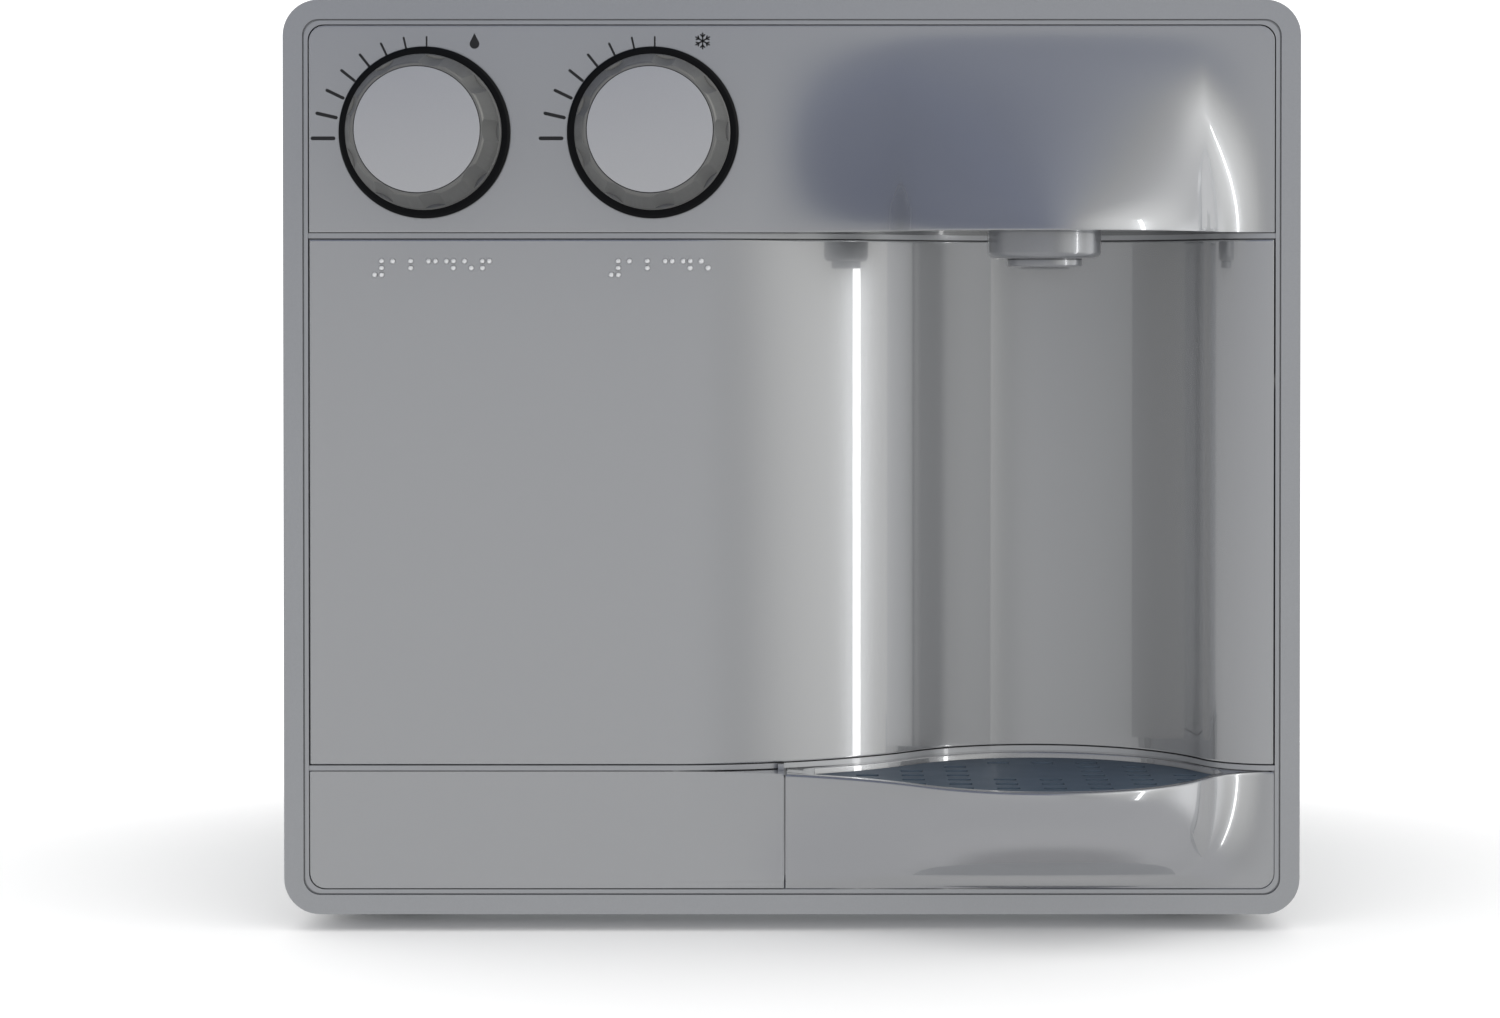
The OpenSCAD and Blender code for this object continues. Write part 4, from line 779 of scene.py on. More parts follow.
class DISPENSER_OT_front_frame(bpy.types.Operator):
    """Round the edges of the front frame with its rim, groove, ledge and bars"""

    bl_idname = "dispenser.front_frame"
    bl_label = "Front frame"

    def execute(self, context):
        rounded("front_frame")
        return {"FINISHED"}


# Columns and rows of the shells, in their swelling and in their flat parts
SHELL_ROWS = 44
HOOD_COLUMNS = 150
FASCIA_FLAT_COLUMNS = 16
NICHE_COLUMNS = 240
COVER_COLUMNS = 30
FLAT_COLUMNS = 10
FLAT_ROWS = 8


class DISPENSER_OT_fascia(bpy.types.Operator):
    """Make the control fascia, whose right half swells into the hood over the niche"""

    bl_idname = "dispenser.fascia"
    bl_label = "Control fascia"

    def execute(self, context):
        s = sizes()
        edge = FASCIA_HIGH.x
        straight = edge - s.corner_r
        corner = corner_columns(edge)
        hood_start = s.niche_x - s.hood_lead
        columns = [-x for x in reversed(corner)]
        columns += evenly(-straight, hood_start, FASCIA_FLAT_COLUMNS)[:-1]
        columns += evenly(hood_start, straight, HOOD_COLUMNS)
        columns += corner
        low = FASCIA_LOW.z
        rows = margin_rows(low, FASCIA_HIGH.z, SHELL_ROWS)
        height = FASCIA_HIGH.z - low

        def point(x, z):
            top = FASCIA_HIGH.z - corner_drop(abs(x) - straight)
            lifted = low + (z - low) * (top - low) / height
            return x, fascia_front(x, lifted), lifted

        fascia = shell("fascia_shell", columns, rows, point, s.fascia_t)
        dress(fascia, silver_paint(), BODY, "panel_silver", "control_fascia")
        return {"FINISHED"}


class DISPENSER_OT_front_panel(bpy.types.Operator):
    """Make the front panel with the S-curve of the dispensing niche"""

    bl_idname = "dispenser.front_panel"
    bl_label = "Front panel"

    def execute(self, context):
        s = sizes()
        start = s.niche_x - s.niche_lead
        columns = [PANEL_LOW.x, *evenly(PANEL_LOW.x + s.support, start, FLAT_COLUMNS)[:-1]]
        columns += [*evenly(start, PANEL_HIGH.x - s.support, NICHE_COLUMNS), PANEL_HIGH.x]
        rows = margin_rows(PANEL_LOW.z, PANEL_HIGH.z, FLAT_ROWS)
        panel = shell("niche_panel_shell", columns, rows, lambda x, z: (x, niche_front(x), z), s.panel_t)
        dress(panel, silver_paint(), BODY, "panel_silver", "front_panel")
        return {"FINISHED"}


class DISPENSER_OT_lower_cover(bpy.types.Operator):
    """Make the lower cover at the left of the tray"""

    bl_idname = "dispenser.lower_cover"
    bl_label = "Lower cover"

    def execute(self, context):
        s = sizes()
        edge = -COVER_LOW.x
        straight = edge - s.corner_r
        start = s.niche_x - s.niche_lead
        columns = [-x for x in reversed(corner_columns(edge))]
        columns += evenly(-straight, start, FLAT_COLUMNS)[:-1]
        columns += [*evenly(start, COVER_HIGH.x - s.support, COVER_COLUMNS), COVER_HIGH.x]
        high = COVER_HIGH.z
        height = high - COVER_LOW.z
        flange = high + s.panel_t
        rows = [*margin_rows(COVER_LOW.z, high, SHELL_ROWS), flange]

        def point(x, z):
            if z == flange:
                return x, max(niche_front(x) - s.support, lower_front(x, high) + s.panel_t), high
            low = COVER_LOW.z + corner_drop(-x - straight)
            lifted = high - (high - z) * (high - low) / height
            return x, lower_front(x, lifted), lifted

        cover = shell("cover_shell", columns, rows, point, s.panel_t)
        dress(cover, silver_paint(), BODY, "panel_silver", "lower_cover")
        return {"FINISHED"}


TRAY_COLUMNS = 130
TRAY_ROWS = 40
FOOT_STEPS = 8
LIP_STEPS = 4
BASIN_STEPS = 10
# Gap between the tray's back and the niche, and between the grille and its seat
TRAY_GAP = 0.5 * MM
SEAT_GAP = 0.1 * MM
# Narrow bands above and inside the seat's corner, which keep it crisp
SEAT_ABOVE = 0.2 * MM
SEAT_INSIDE = 0.4 * MM
TRAY_SMOOTH = math.radians(38)
# Points nearer to a height than this lie at it
LEVEL = 0.01 * MM


def niche_back(x):
    """Y just in front of the niche's face, where the tray's back ends."""
    return niche_front(x) - TRAY_GAP


def tray_loops():
    """Closed outlines of the tray from its underside up to the lip, then down into the basin."""
    s = sizes()
    low, high = TRAY_LOW.z, TRAY_HIGH.z
    x0, x1 = TRAY_LOW.x, TRAY_HIGH.x
    recess0, recess1 = s.niche_x - s.recess_left, s.niche_x + s.recess_right
    seat = GRILLE_LOW.z - SEAT_GAP
    floor = low + s.tray_wall

    def outer(z, inset):
        past = low + s.corner_r - z
        xs = evenly(x0 + inset, x1 - inset - corner_drop(past), TRAY_COLUMNS)
        front = [(x, lower_front(x, min(z, high)) + inset, z) for x in xs]
        back = [(x, max(niche_back(x), FACE_Y + s.tray_tip) - inset, z) for x in reversed(xs)]
        return front + back

    def inner(z, end_in, wall_in):
        xs = evenly(recess0 + end_in, recess1 - end_in, TRAY_COLUMNS)
        front = [(x, lower_front(x, z) + s.tray_front_t + wall_in, z) for x in xs]
        back = [(x, niche_back(x) - s.tray_wall - wall_in, z) for x in reversed(xs)]
        return front + back

    foot = [low + s.corner_r * (1 - math.cos(math.pi / 2 * i / FOOT_STEPS)) for i in range(FOOT_STEPS)]
    loops = [outer(z, 0) for z in foot]
    loops += [outer(z, 0) for z in evenly(low + s.corner_r, high - s.lip_r, TRAY_ROWS)]
    turns = [math.pi / 2 * i / LIP_STEPS for i in range(1, LIP_STEPS + 1)]
    loops += [outer(high - s.lip_r * (1 - math.sin(a)), s.lip_r * (1 - math.cos(a))) for a in turns]
    rim_r = s.lip_r / 2
    for a in [0.0, *turns]:
        inset = rim_r * (math.sin(a) - 1)
        loops.append(inner(high - rim_r * (1 - math.cos(a)), inset, inset))
    loops += [inner(seat + SEAT_ABOVE, 0, 0), inner(seat, 0, 0), inner(seat, SEAT_INSIDE, SEAT_INSIDE)]
    loops += [inner(z, s.basin_in, s.seat_w) for z in evenly(seat, floor, BASIN_STEPS)]
    return loops


def close_ends(obj, heights):
    """Fills the open outlines that lie at these heights."""
    mesh = obj.data
    for height in heights:
        with editing(obj):
            bpy.ops.mesh.select_all(action="DESELECT")
            bpy.ops.mesh.select_mode(type="EDGE")
            bpy.ops.mesh.select_non_manifold(
                extend=False, use_wire=False, use_multi_face=False, use_verts=False
            )
        level = [abs(vertex.co.z - height) < LEVEL for vertex in mesh.vertices]
        chosen = [edge for edge in mesh.edges if edge.select and all(level[i] for i in edge.vertices)]
        for items in (mesh.vertices, mesh.edges, mesh.polygons):
            items.foreach_set("select", [False] * len(items))
        for edge in chosen:
            edge.select = True
            for i in edge.vertices:
                mesh.vertices[i].select = True
        bpy.ops.object.mode_set(mode="EDIT")
        bpy.ops.mesh.edge_face_add()
        bpy.ops.object.mode_set(mode="OBJECT")


class DISPENSER_OT_drip_tray(bpy.types.Operator):
    """Make the drip tray with its bulged front, rounded lip, seat and basin"""

    bl_idname = "dispenser.drip_tray"
    bl_label = "Drip tray"

    def execute(self, context):
        loops = tray_loops()
        count = len(loops[0])
        columns, rows = range(count + 1), range(len(loops))
        tray = shaped_grid("tray_shell", columns, rows, lambda i, j: loops[j][i % count])
        face_out(tray)
        close_ends(tray, (loops[0][0][2], loops[-1][0][2]))
        face_out(tray)
        pick(tray)
        bpy.ops.object.shade_smooth_by_angle(angle=TRAY_SMOOTH)
        unmirrored(dress(tray, silver_paint(), "drip_tray", "panel_silver", "drip_tray"))
        return {"FINISHED"}


class DISPENSER_OT_drip_grille(bpy.types.Operator):
    """Round the edges of the slotted grille that lies in the tray"""

    bl_idname = "dispenser.drip_grille"
    bl_label = "Drip grille"

    def execute(self, context):
        unmirrored(rounded("drip_grille"))
        return {"FINISHED"}


class DISPENSER_OT_spout(bpy.types.Operator):
    """Round the edges of the spout and of the niche's ceiling"""

    bl_idname = "dispenser.spout"
    bl_label = "Spout"

    def execute(self, context):
        for node in ("spout_body", "spout_outlet", "spout_plate"):
            rounded(node)
        return {"FINISHED"}


KNOBS = ("natural", "cold")
KNOB_SEGMENTS = 3
GRIP_EDGE = 0.2 * MM
GRIP_SHARP = 25
CAP_EDGE = 0.12 * MM
# Radius past which the grip and the cap are drawn in, and the share that stays
GRIP_DRAWN = (25.5 * MM, 0.45)
CAP_DRAWN = (20 * MM, 0.75)


def drawn_in(obj, centre_node, start, share):
    """Draws what lies outside a radius round a node's middle in towards that radius."""
    axis = middle(centre_node)
    for vertex in obj.data.vertices:
        offset = Vector((vertex.co.x - axis.x, 0, vertex.co.z - axis.z))
        past = offset.length - start
        if past > 0:
            vertex.co -= offset.normalized() * past * (1 - share)
    obj.data.update()
    return obj


class DISPENSER_OT_knobs(bpy.types.Operator):
    """Round the edges of the rings, the scalloped grips and their caps"""

    bl_idname = "dispenser.knobs"
    bl_label = "Flow knobs"

    def execute(self, context):
        for side in KNOBS:
            ring, grip, cap = side + "_dial_ring", side + "_knob_grip", side + "_knob_cap"
            unmirrored(rounded(ring))
            rim = drawn_in(softened(grip, GRIP_EDGE, KNOB_SEGMENTS, GRIP_SHARP), ring, *GRIP_DRAWN)
            unmirrored(dress(rim, knob_paint(), side + "_knob", "knob_silver", grip))
            disc = drawn_in(softened(cap, CAP_EDGE, KNOB_SEGMENTS), ring, *CAP_DRAWN)
            unmirrored(dress(disc, cap_lacquer(), side + "_knob", "cap_silver", cap))
            unmirrored(frame["nodes"][side + "_spindle"])
        return {"FINISHED"}


MARKS = 8
# Middle of the marks' arc, seen from the dial's middle
MARK_SHIFT = Vector((0.6 * MM, 0, -1.9 * MM))
BAR_END_STEPS = 6


def plate(outline, y, thickness):
    """A thin plate with this outline of (x, z) points, its back at y."""
    deselect()
    bpy.ops.mesh.primitive_circle_add(vertices=len(outline), radius=1, fill_type="NGON")
    obj = bpy.context.object
    obj.data.vertices.foreach_set("co", [c for x, z in outline for c in (x, y, z)])
    obj.data.update()
    with editing(obj):
        bpy.ops.mesh.extrude_region_move(TRANSFORM_OT_translate={"value": (0, -thickness, 0)})
        bpy.ops.mesh.select_all(action="SELECT")
        bpy.ops.mesh.normals_make_consistent(inside=False)
    settle(obj)
    return obj


def polar(centre, radius, angle):
    """The (x, z) point at a radius and an angle round a centre."""
    return centre[0] + radius * math.cos(angle), centre[1] + radius * math.sin(angle)


def bar_outline(start, end, width):
    """Outline of a straight bar with half-round ends, from start to end in (x, z)."""
    heading = math.atan2(end[1] - start[1], end[0] - start[0])
    points = []
    for centre, turn in ((end, heading - math.pi / 2), (start, heading + math.pi / 2)):
        points += [polar(centre, width / 2, a) for a in evenly(turn, turn + math.pi, BAR_END_STEPS)]
    return points


def dial_marks(side):
    """Printed marks from nine to twelve o'clock, each shorter and thinner than the last."""
    s = sizes()
    place = middle(side + "_dial_ring") + MARK_SHIFT
    marks = []
    for i in range(MARKS):
        share = i / (MARKS - 1)
        angle = math.pi - math.pi / 2 * share
        reach = s.mark_long + (s.mark_short - s.mark_long) * share
        width = s.mark_wide + (s.mark_thin - s.mark_wide) * share
        radii = (s.mark_r + width / 2, s.mark_r + reach - width / 2)
        ends = [polar((place.x, place.z), r, angle) for r in radii]
        marks.append(plate(bar_outline(*ends, width), FACE_Y, s.ink_t))
    return join(marks, side + "_dial_marks")


# Radius of the drop's round foot as a share of its height
DROP_ROUND = 0.31
DROP_STEPS = 24
# Bar width as a share of the crystal's height; fork and branch as shares of an arm
FLAKE_BAR = 0.09
FLAKE_FORK = 0.55
FLAKE_BRANCH = 0.36


def drop_outline(x, z, height):
    """Outline of a water drop, its tip up and its foot at z."""
    radius = height * DROP_ROUND
    centre = (x, z + radius)
    reach = math.acos(radius / (height - radius))
    first = math.pi / 2 + reach
    last = first + 2 * (math.pi - reach)
    return [(x, z + height), *[polar(centre, radius, a) for a in evenly(first, last, DROP_STEPS)]]


def snowflake(centre, height, thickness):
    """Plates of a six-armed snow crystal."""
    arm = height / 2
    bars = []
    for i in range(6):
        angle = math.pi / 2 + math.pi / 3 * i
        bars.append((centre, polar(centre, arm, angle)))
        fork = polar(centre, arm * FLAKE_FORK, angle)
        for lean in (-math.pi / 4, math.pi / 4):
            bars.append((fork, polar(fork, arm * FLAKE_BRANCH, angle + lean)))
    return [plate(bar_outline(*bar, height * FLAKE_BAR), FACE_Y, thickness) for bar in bars]


# Place of the signs right of the dials' middles and under the fascia's top
ICON_SHIFT = 16.6 * MM
ICON_TOP = 2.6 * MM


class DISPENSER_OT_markings(bpy.types.Operator):
    """Print the dials' marks, and a drop and a snow crystal as plain signs"""

    bl_idname = "dispenser.markings"
    bl_label = "Printed markings"

    def execute(self, context):
        s = sizes()
        foot = FASCIA_HIGH.z - ICON_TOP - s.icon_h
        for side in KNOBS:
            dress(dial_marks(side), print_ink(), BODY, "ring_black")
        x = middle("natural_dial_ring").x + ICON_SHIFT
        drop = join([plate(drop_outline(x, foot, s.icon_h), FACE_Y, s.ink_t)], "natural_drop_sign")
        dress(drop, print_ink(), BODY, "ring_black")
        x = middle("cold_dial_ring").x + ICON_SHIFT
        flake = join(snowflake((x, foot + s.icon_h / 2), s.icon_h, s.ink_t), "cold_crystal_sign")
        dress(flake, print_ink(), BODY, "ring_black")
        return {"FINISHED"}


# Tactile cells: the dots that are raised, counted down the left column and then the right one
NUMBER_SIGN = (3, 4, 5, 6)
DIGITS = ((1,), (1, 2), (1, 4), (1, 4, 5), (1, 5), (1, 2, 4))
DOTS_Z = 222.4 * MM
# X of each row's first dot, and how many digits it counts up to
DOT_ROWS = {"natural": (-139.4 * MM, 6), "cold": (-60.3 * MM, 5)}
DOT_SEGMENTS = 20
DOT_RINGS = 12
DOT_SMOOTH = math.radians(40)


def dome(x, y, z):
    """A low round dot on the panel's face."""
    s = sizes()
    deselect()
    bpy.ops.mesh.primitive_uv_sphere_add(
        segments=DOT_SEGMENTS, ring_count=DOT_RINGS, radius=1, location=(x, y, z)
    )
    obj = bpy.context.object
    obj.scale = (s.dot_r, s.dot_h, s.dot_r)
    settle(obj)
    with editing(obj):
        bpy.ops.mesh.bisect(plane_co=(0, y, 0), plane_no=(0, 1, 0), clear_outer=True, use_fill=True)
    bpy.ops.object.shade_smooth_by_angle(angle=DOT_SMOOTH)
    return obj


class DISPENSER_OT_tactile_dots(bpy.types.Operator):
    """Raise two rows of tactile digits on the panel under the knobs"""

    bl_idname = "dispenser.tactile_dots"
    bl_label = "Tactile dots"

    def execute(self, context):
        s = sizes()
        for side, (start, count) in DOT_ROWS.items():
            dots = []
            for i, cell in enumerate((NUMBER_SIGN, *DIGITS[:count])):
                for dot in cell:
                    column, row = divmod(dot - 1, 3)
                    x = start + s.cell_pitch * i + s.dot_pitch * column
                    dots.append(dome(x, FACE_Y, DOTS_Z + s.dot_pitch * (1 - row)))
            dress(join(dots, side + "_tactile_dots"), dot_lacquer(), BODY, "panel_silver")
        return {"FINISHED"}


CABINET = ("cabinet_wrap", "rear_panel", "base_plate", "rubber_feet", "rear_spacers", "cabinet_screws")


class DISPENSER_OT_cabinet(bpy.types.Operator):
    """Round the edges of the cabinet's sheets, feet, spacers and screws"""

    bl_idname = "dispenser.cabinet"
    bl_label = "Cabinet"

    def execute(self, context):
        for node in CABINET:
            rounded(node)
        return {"FINISHED"}


REAR_MARKS = 7
REAR_GAP = 2.2 * MM
REAR_LONG = 2.6 * MM
REAR_WIDE = 0.8 * MM
# The knob's turn, from one side's foot over the top to the other's
REAR_TURN = (math.radians(-45), math.radians(225))


def rear_scale():
    """Printed marks round the thermostat's knob, over its turn."""
    low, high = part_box("thermostat_knob")
    place = middle("thermostat_knob")
    radius = (high.x - low.x) / 2 + REAR_GAP
    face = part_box("rear_panel")[1].y
    marks = []
    for angle in evenly(*REAR_TURN, REAR_MARKS - 1):
        ends = [polar((place.x, place.z), r, angle) for r in (radius, radius + REAR_LONG)]
        marks.append(plate(bar_outline(*ends, REAR_WIDE), face, -sizes().ink_t))
    return join(marks, "thermostat_marks")


class DISPENSER_OT_rear_fittings(bpy.types.Operator):
    """Round the edges of the thermostat's knob, the inlet and the cable gland, and print the knob's scale"""

    bl_idname = "dispenser.rear_fittings"
    bl_label = "Rear fittings"

    def execute(self, context):
        rounded("thermostat_knob")
        dress(rear_scale(), pale_ink(), BODY, "water_white")
        rounded("power_gland")
        rounded("inlet_fitting")
        return {"FINISHED"}


# Materials of the nodes that keep their shape
KEPT = (
    (turned_brass, ("natural_spindle", "cold_spindle", "natural_valve_body", "cold_valve_body",
                    "valve_nuts")),
    (white_plastic, ("spout_manifold", "natural_valve_end", "cold_valve_end", "filter_head",
                     "filter_cartridge", "thermostat_body")),
    (black_rubber, ("stem_seals", "compressor_grommets")),
    (zinc_steel, ("valve_bracket", "bracket_screws", "compressor_bolts")),
    (black_enamel, ("compressor_lower_shell", "compressor_upper_shell", "condenser")),
    (cast_iron, ("compressor_pump",)),
    (black_plastic, ("relay_cover",)),
    (drawn_copper, ("filter_drier", "discharge_line", "suction_line", "capillary_tube", "evaporator_coil")),
    (stainless, ("cold_tank", "tank_lid")),
    (bead_foam, ("tank_insulation", "insulation_cap")),
    (milky_hose, ("inlet_hose", "tank_feed_hose", "cold_feed_hose", "natural_feed_hose", "natural_spout_hose",
                  "cold_spout_hose")),
)


class DISPENSER_OT_inner_works(bpy.types.Operator):
    """Give the pieces inside the cabinet their finishes"""

    bl_idname = "dispenser.inner_works"
    bl_label = "Inner works"

    def execute(self, context):
        for material, nodes in KEPT:
            for node in nodes:
                slots = frame["nodes"][node].data.materials
                slots.clear()
                slots.append(material())
        return {"FINISHED"}


CAMERA_PLACE = Vector((2.7 * MM, RIM_LOW.y - 1150 * MM, 215 * MM))
CAMERA_LENS_MM = 82.6
CAMERA_SENSOR_MM = 36
CAMERA_PITCH = math.radians(0.75)
CAMERA_SHIFT = (-0.0333, -0.1159)

# Grey of the reflected room by a direction's x, from left to right
AHEAD = ((-1, 0.5), (-0.5, 0.54), (0, 0.57), (0.16, 0.56), (0.4, 0.44), (0.7, 0.47), (1, 0.5))
BEHIND = ((-1, 0.45), (0, 0.8), (1, 1.1))
CEILING = ((-1, 0.14), (-0.3, 0.15), (0, 0.18), (0.16, 0.3), (0.36, 0.43), (0.7, 0.66), (1, 0.7))
# Cool tint of the ceiling's left, and the x over which it fades
COOL_TINT = (0.82, 0.94, 1.42, 1)
COOL_EDGES = (-0.15, 0.4)
# Grey below, in front and further back, and the y between them
BELOW_FRONT = (0.52, 0.52, 0.53, 1)
BELOW_BACK = (0.29, 0.29, 0.3, 1)
BELOW_EDGES = (0.52, 0.64)
# Y between the room ahead and behind, and z up to the ceiling and down to what is below
BACK_EDGES = (-0.15, 0.3)
UP_EDGES = (-0.02, 0.2)
DOWN_EDGES = (-0.3, -0.6)
# Direction, reach and strength of the soft glow at the right
GLOW_SIDE = Vector((0.88, -0.43, 0.2))
GLOW_EDGES = (0.64, 1.0)
GLOW = (0.38, 0.375, 0.35, 1)
# White that lights the object and stands behind it
SURROUND = (1.3, 1.3, 1.3, 1)


def graded(tree, value, stops):
    """Grey that follows the stops (value, grey)."""
    near, far = stops[0][0], stops[-1][0]
    share = add(tree, "MapRange", {"Value": value, "From Min": near, "From Max": far})
    made = add(tree, "ValToRGB", {"Fac": share.outputs[0]})
    elements = made.color_ramp.elements
    while len(elements) < len(stops):
        elements.new(0.5)
    for element, (place, grey) in zip(elements, stops):
        element.position = (place - near) / (far - near)
        element.color = (grey, grey, grey, 1)
    return made.outputs["Color"]


def studio_world(context):
    """White behind the object; for reflections a grey room, dim above and brighter at the right."""
    world = bpy.data.worlds.new("studio")
    context.scene.world = world
    world.use_nodes = True
    tree = world.node_tree
    tree.nodes.clear()
    heading = add(tree, "TexCoord").outputs["Generated"]
    x, y, z = add(tree, "SeparateXYZ", {0: heading}).outputs

    def faded(value, edges, low, high):
        """Goes from low to high as the value passes from the first edge to the second."""
        share = add(tree, "MapRange", {"Value": value, "From Min": edges[0], "From Max": edges[1]},
                    interpolation_type="SMOOTHSTEP")
        mix = add(tree, "Mix", {"Factor": share.outputs[0], "A": low, "B": high}, data_type="RGBA")
        return mix.outputs[2]

    around = faded(y, BACK_EDGES, graded(tree, x, AHEAD), graded(tree, x, BEHIND))
    ceiling = graded(tree, x, CEILING)
    cool = add(tree, "Mix", {"Factor": 1.0, "A": ceiling, "B": COOL_TINT}, data_type="RGBA",
               blend_type="MULTIPLY")
    room = faded(z, UP_EDGES, around, faded(x, COOL_EDGES, cool.outputs[2], ceiling))
    room = faded(z, DOWN_EDGES, room, faded(y, BELOW_EDGES, BELOW_FRONT, BELOW_BACK))
    bright = add(tree, "Mix", {"Factor": 1.0, "A": room, "B": GLOW}, data_type="RGBA", blend_type="ADD")
    towards = add(tree, "VectorMath", {0: heading, 1: GLOW_SIDE}, operation="DOT_PRODUCT").outputs["Value"]
    room = faded(towards, GLOW_EDGES, room, bright.outputs[2])
    mirrored = add(tree, "LightPath").outputs["Is Glossy Ray"]
    seen = add(tree, "Mix", {"Factor": mirrored, "A": SURROUND, "B": room}, data_type="RGBA")
    light = add(tree, "Background", {"Color": seen.outputs[2]})
    add(tree, "OutputWorld", {"Surface": light.outputs[0]})


def started_bare(name):
    """A new material with an empty tree, and the Y of its object coordinates."""
    material = bpy.data.materials.new(name)
    material.use_nodes = True
    tree = material.node_tree
    tree.nodes.clear()
    coords = add(tree, "TexCoord").outputs["Object"]
    return material, tree, add(tree, "SeparateXYZ", {0: coords}).outputs[1]


def part_clear(tree, share, shader):
    """Makes a material see-through by a share."""
    clear = add(tree, "BsdfTransparent")
    mix = add(tree, "MixShader", {0: share, 1: shader.outputs[0], 2: clear.outputs[0]})
    add(tree, "OutputMaterial", {"Surface": mix.outputs[0]})


FLOOR_SIZE = 6.0
# Y where the floor has faded into the white behind
FLOOR_END = 0.5


def pale_floor():
    """Pale matt board that fades into the white behind."""
    material, tree, y = started_bare("board_pale_glow")
    fade = add(tree, "MapRange", {"Value": y, "From Max": FLOOR_END}, interpolation_type="SMOOTHSTEP")
    part_clear(tree, fade.outputs[0], add(tree, "BsdfDiffuse", {"Color": tones(colours().floor, 1.0)[0]}))
    return material


# Upright strip light at the right: the x that it faces, its angle from straight ahead, and its distance,
# height, size and watts
STRIP_AIM_X = 80 * MM
STRIP_ANGLE = math.radians(65.2)
STRIP_REACH = 1.6
STRIP_Z = 0.05
STRIP_SIZE = (0.09, 1.8)
STRIP_POWER = 2.5


def strip_light(context):
    """The narrow upright light whose mirror image is the bright line in the niche."""
    data = bpy.data.lights.new("strip_light", "AREA")
    data.shape = "RECTANGLE"
    data.size, data.size_y = STRIP_SIZE
    data.energy = STRIP_POWER
    obj = bpy.data.objects.new("strip_light", data)
    context.scene.collection.objects.link(obj)
    away = Vector((math.sin(STRIP_ANGLE), -math.cos(STRIP_ANGLE), 0)) * STRIP_REACH
    obj.location = Vector((STRIP_AIM_X, FACE_Y, STRIP_Z)) + away
    obj.rotation_euler = (-away).to_track_quat("-Z", "Y").to_euler()


# Glow of the cards below, which paints reflected tones: depth behind the face in millimetres, and value
NICHE_GREY = (
    (18, 0.66), (23, 0.64), (26, 0.62), (29, 0.58), (32.1, 0.54), (33.6, 0.42), (34, 0.08), (34.4, 0.1),
    (34.9, 0.38), (35.3, 0.52), (37, 0.53), (42, 0.52), (48.5, 0.5),
)
RIGHT_GREY = ((20, 0.26), (46, 0.3))
BAY_GREY = ((0, 0.5), (1, 0.5))
MARGIN_GREY = ((0, 0.85), (1, 0.85))
# Glowing cards that only reflections see; their greys are painted reflections.
# Each has a corner behind the face and two edges, in millimetres, and the grey.
# Two stand in the niche, one lies under the tray's foot, one stands at the hood's right, and the others line
# the tray's bay. Only the first one takes light away.
CARDS = {
    "niche_card": ((70, 18, 54), (0, 0, 179), (0, 30.5, 0), NICHE_GREY),
    "right_flank_card": ((75, 20.6, 54), (0, 25, 0), (0, 0, 179), RIGHT_GREY),
    "foot_card": ((-40, -3, 14.4), (200, 0, 0), (0, 2.5, 0), BAY_GREY),
    "margin_card": ((147, -1.5, 236), (14, 0, 0), (0, 0.01, 64), MARGIN_GREY),
    "bay_floor_card": ((-40, -2, 16.5), (200, 0, 0), (0, 53, 0), BAY_GREY),
    "bay_left_card": ((-40, -2, 16.5), (0, 53, 0), (0, 0, 37), BAY_GREY),
    "bay_right_card": ((160, -2, 16.5), (0, 0, 37), (0, 53, 0), BAY_GREY),
}


def grey_card(name, corner, along, up, stops):
    """A glowing card, seen only in reflections and only from the front; its grey paints a reflection by the
    stops (depth, value).
    """
    first = Vector((0, FACE_Y, 0)) + Vector(corner) * MM
    run = Vector(along) * MM
    rise = Vector(up) * MM
    obj = shaped_grid(name, (0, 1), (0, 1), lambda i, j: first + run * i + rise * j)
    material, tree, y = started_bare(name + "_glow")
    grey = graded(tree, y, [(FACE_Y + depth * MM, value) for depth, value in stops])
    backface = add(tree, "NewGeometry").outputs["Backfacing"]
    # The card glows with its grey, a painted reflection rather than a matt board
    part_clear(tree, backface, add(tree, "Emission", {"Color": grey}))
    obj.data.materials.append(material)
    obj.visible_camera = False
    obj.visible_diffuse = False
    obj.visible_shadow = stops is NICHE_GREY
    return obj


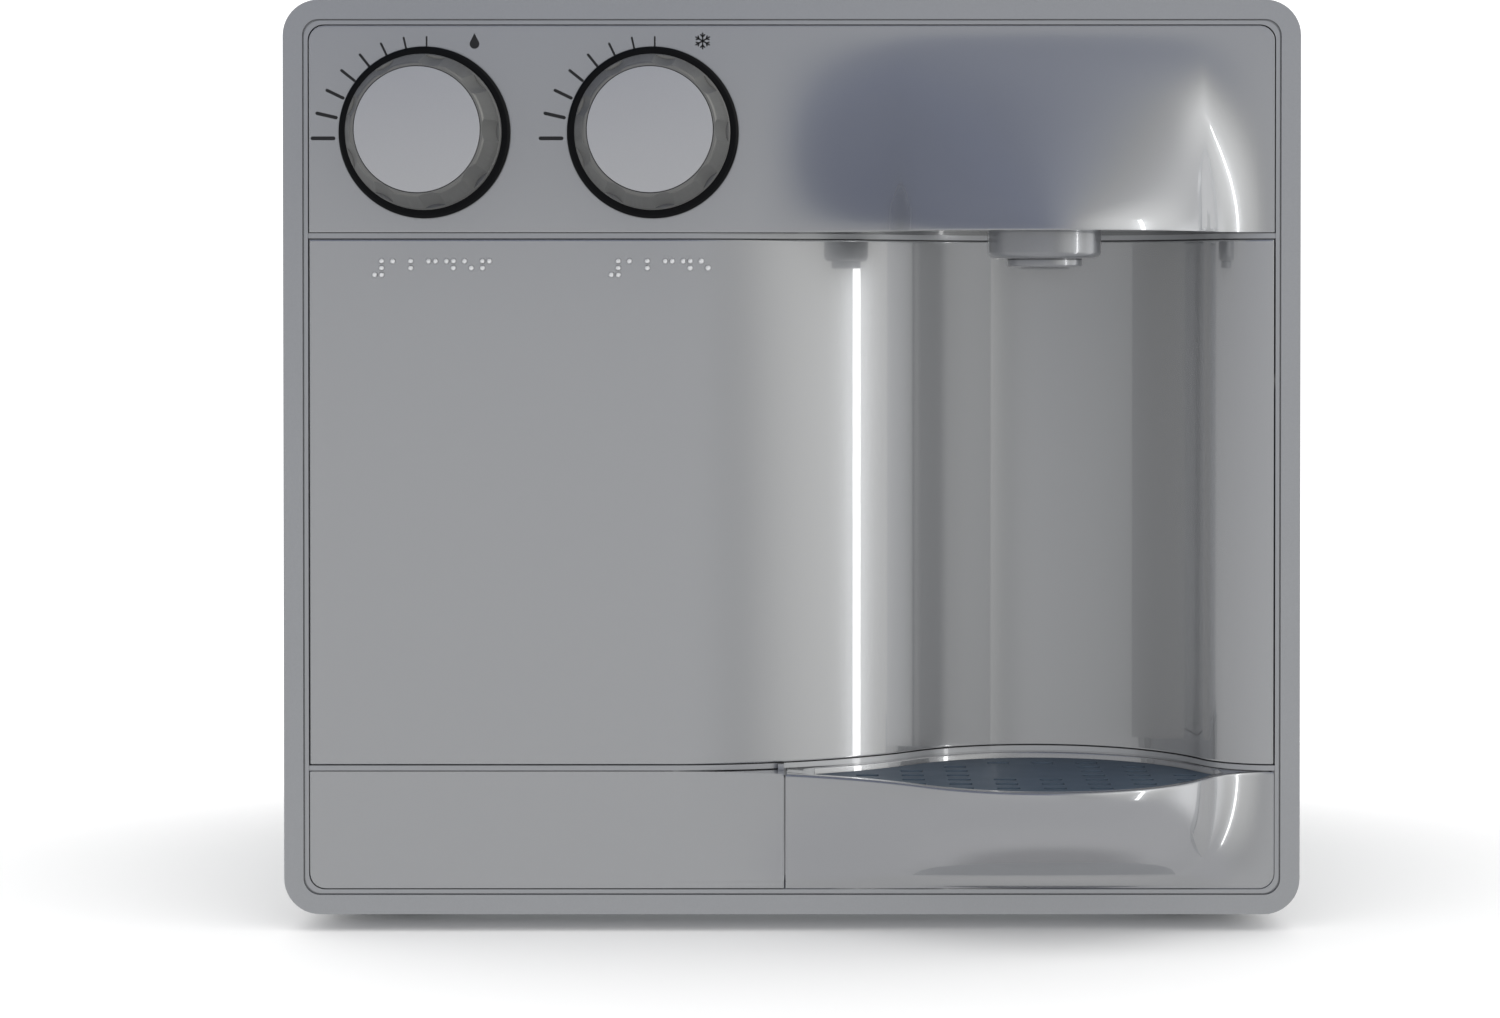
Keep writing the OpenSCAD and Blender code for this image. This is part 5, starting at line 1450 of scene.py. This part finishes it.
class DISPENSER_OT_stage(bpy.types.Operator):
    """Set the floor, the light, the cards, the white surroundings and the camera"""

    bl_idname = "dispenser.stage"
    bl_label = "Stage"

    def execute(self, context):
        deselect()
        bpy.ops.mesh.primitive_plane_add(size=FLOOR_SIZE, location=(0, 0, 0))
        floor = unmirrored(context.object)
        floor.name = "pale_floor"
        floor.data.materials.append(pale_floor())
        studio_world(context)
        strip_light(context)
        for name, card in CARDS.items():
            grey_card(name, *card)
        camera = bpy.data.cameras.new("camera")
        camera.lens = CAMERA_LENS_MM
        camera.sensor_width = CAMERA_SENSOR_MM
        camera.shift_x, camera.shift_y = CAMERA_SHIFT
        obj = bpy.data.objects.new("camera", camera)
        context.scene.collection.objects.link(obj)
        obj.location = CAMERA_PLACE
        obj.rotation_euler = (math.pi / 2 - CAMERA_PITCH, 0, 0)
        context.scene.camera = obj
        context.scene.view_settings.view_transform = "Standard"
        return {"FINISHED"}


OPERATORS = (
    DISPENSER_OT_front_frame, DISPENSER_OT_fascia, DISPENSER_OT_front_panel, DISPENSER_OT_lower_cover,
    DISPENSER_OT_drip_tray, DISPENSER_OT_drip_grille, DISPENSER_OT_spout, DISPENSER_OT_knobs,
    DISPENSER_OT_markings, DISPENSER_OT_tactile_dots, DISPENSER_OT_cabinet, DISPENSER_OT_rear_fittings,
    DISPENSER_OT_inner_works, DISPENSER_OT_stage,
)


class DISPENSER_PT_panel(bpy.types.Panel):
    """Lists the steps that dress the dispenser"""

    bl_idname = "DISPENSER_PT_panel"
    bl_label = "Water dispenser"
    bl_space_type = "VIEW_3D"
    bl_region_type = "UI"
    bl_category = "Dispenser"

    def draw(self, context):
        for operator in OPERATORS:
            self.layout.operator(operator.bl_idname)


CLASSES = (DispenserSizes, DispenserColours, *OPERATORS, DISPENSER_PT_panel)


def register():
    """Registers the classes and puts the sizes and colours on the scene."""
    for cls in CLASSES:
        bpy.utils.register_class(cls)
    bpy.types.Scene.dispenser_sizes = bpy.props.PointerProperty(type=DispenserSizes)
    bpy.types.Scene.dispenser_colours = bpy.props.PointerProperty(type=DispenserColours)


def unregister():
    """Takes the sizes, the colours and the classes away again."""
    del bpy.types.Scene.dispenser_colours
    del bpy.types.Scene.dispenser_sizes
    for cls in reversed(CLASSES):
        bpy.utils.unregister_class(cls)


def main():
    """Makes every piece in order."""
    register()
    bpy.ops.dispenser.front_frame()
    bpy.ops.dispenser.fascia()
    bpy.ops.dispenser.front_panel()
    bpy.ops.dispenser.lower_cover()
    bpy.ops.dispenser.drip_tray()
    bpy.ops.dispenser.drip_grille()
    bpy.ops.dispenser.spout()
    bpy.ops.dispenser.knobs()
    bpy.ops.dispenser.markings()
    bpy.ops.dispenser.tactile_dots()
    bpy.ops.dispenser.cabinet()
    bpy.ops.dispenser.rear_fittings()
    bpy.ops.dispenser.inner_works()
    bpy.ops.dispenser.stage()


if __name__ == "__main__":
    main()
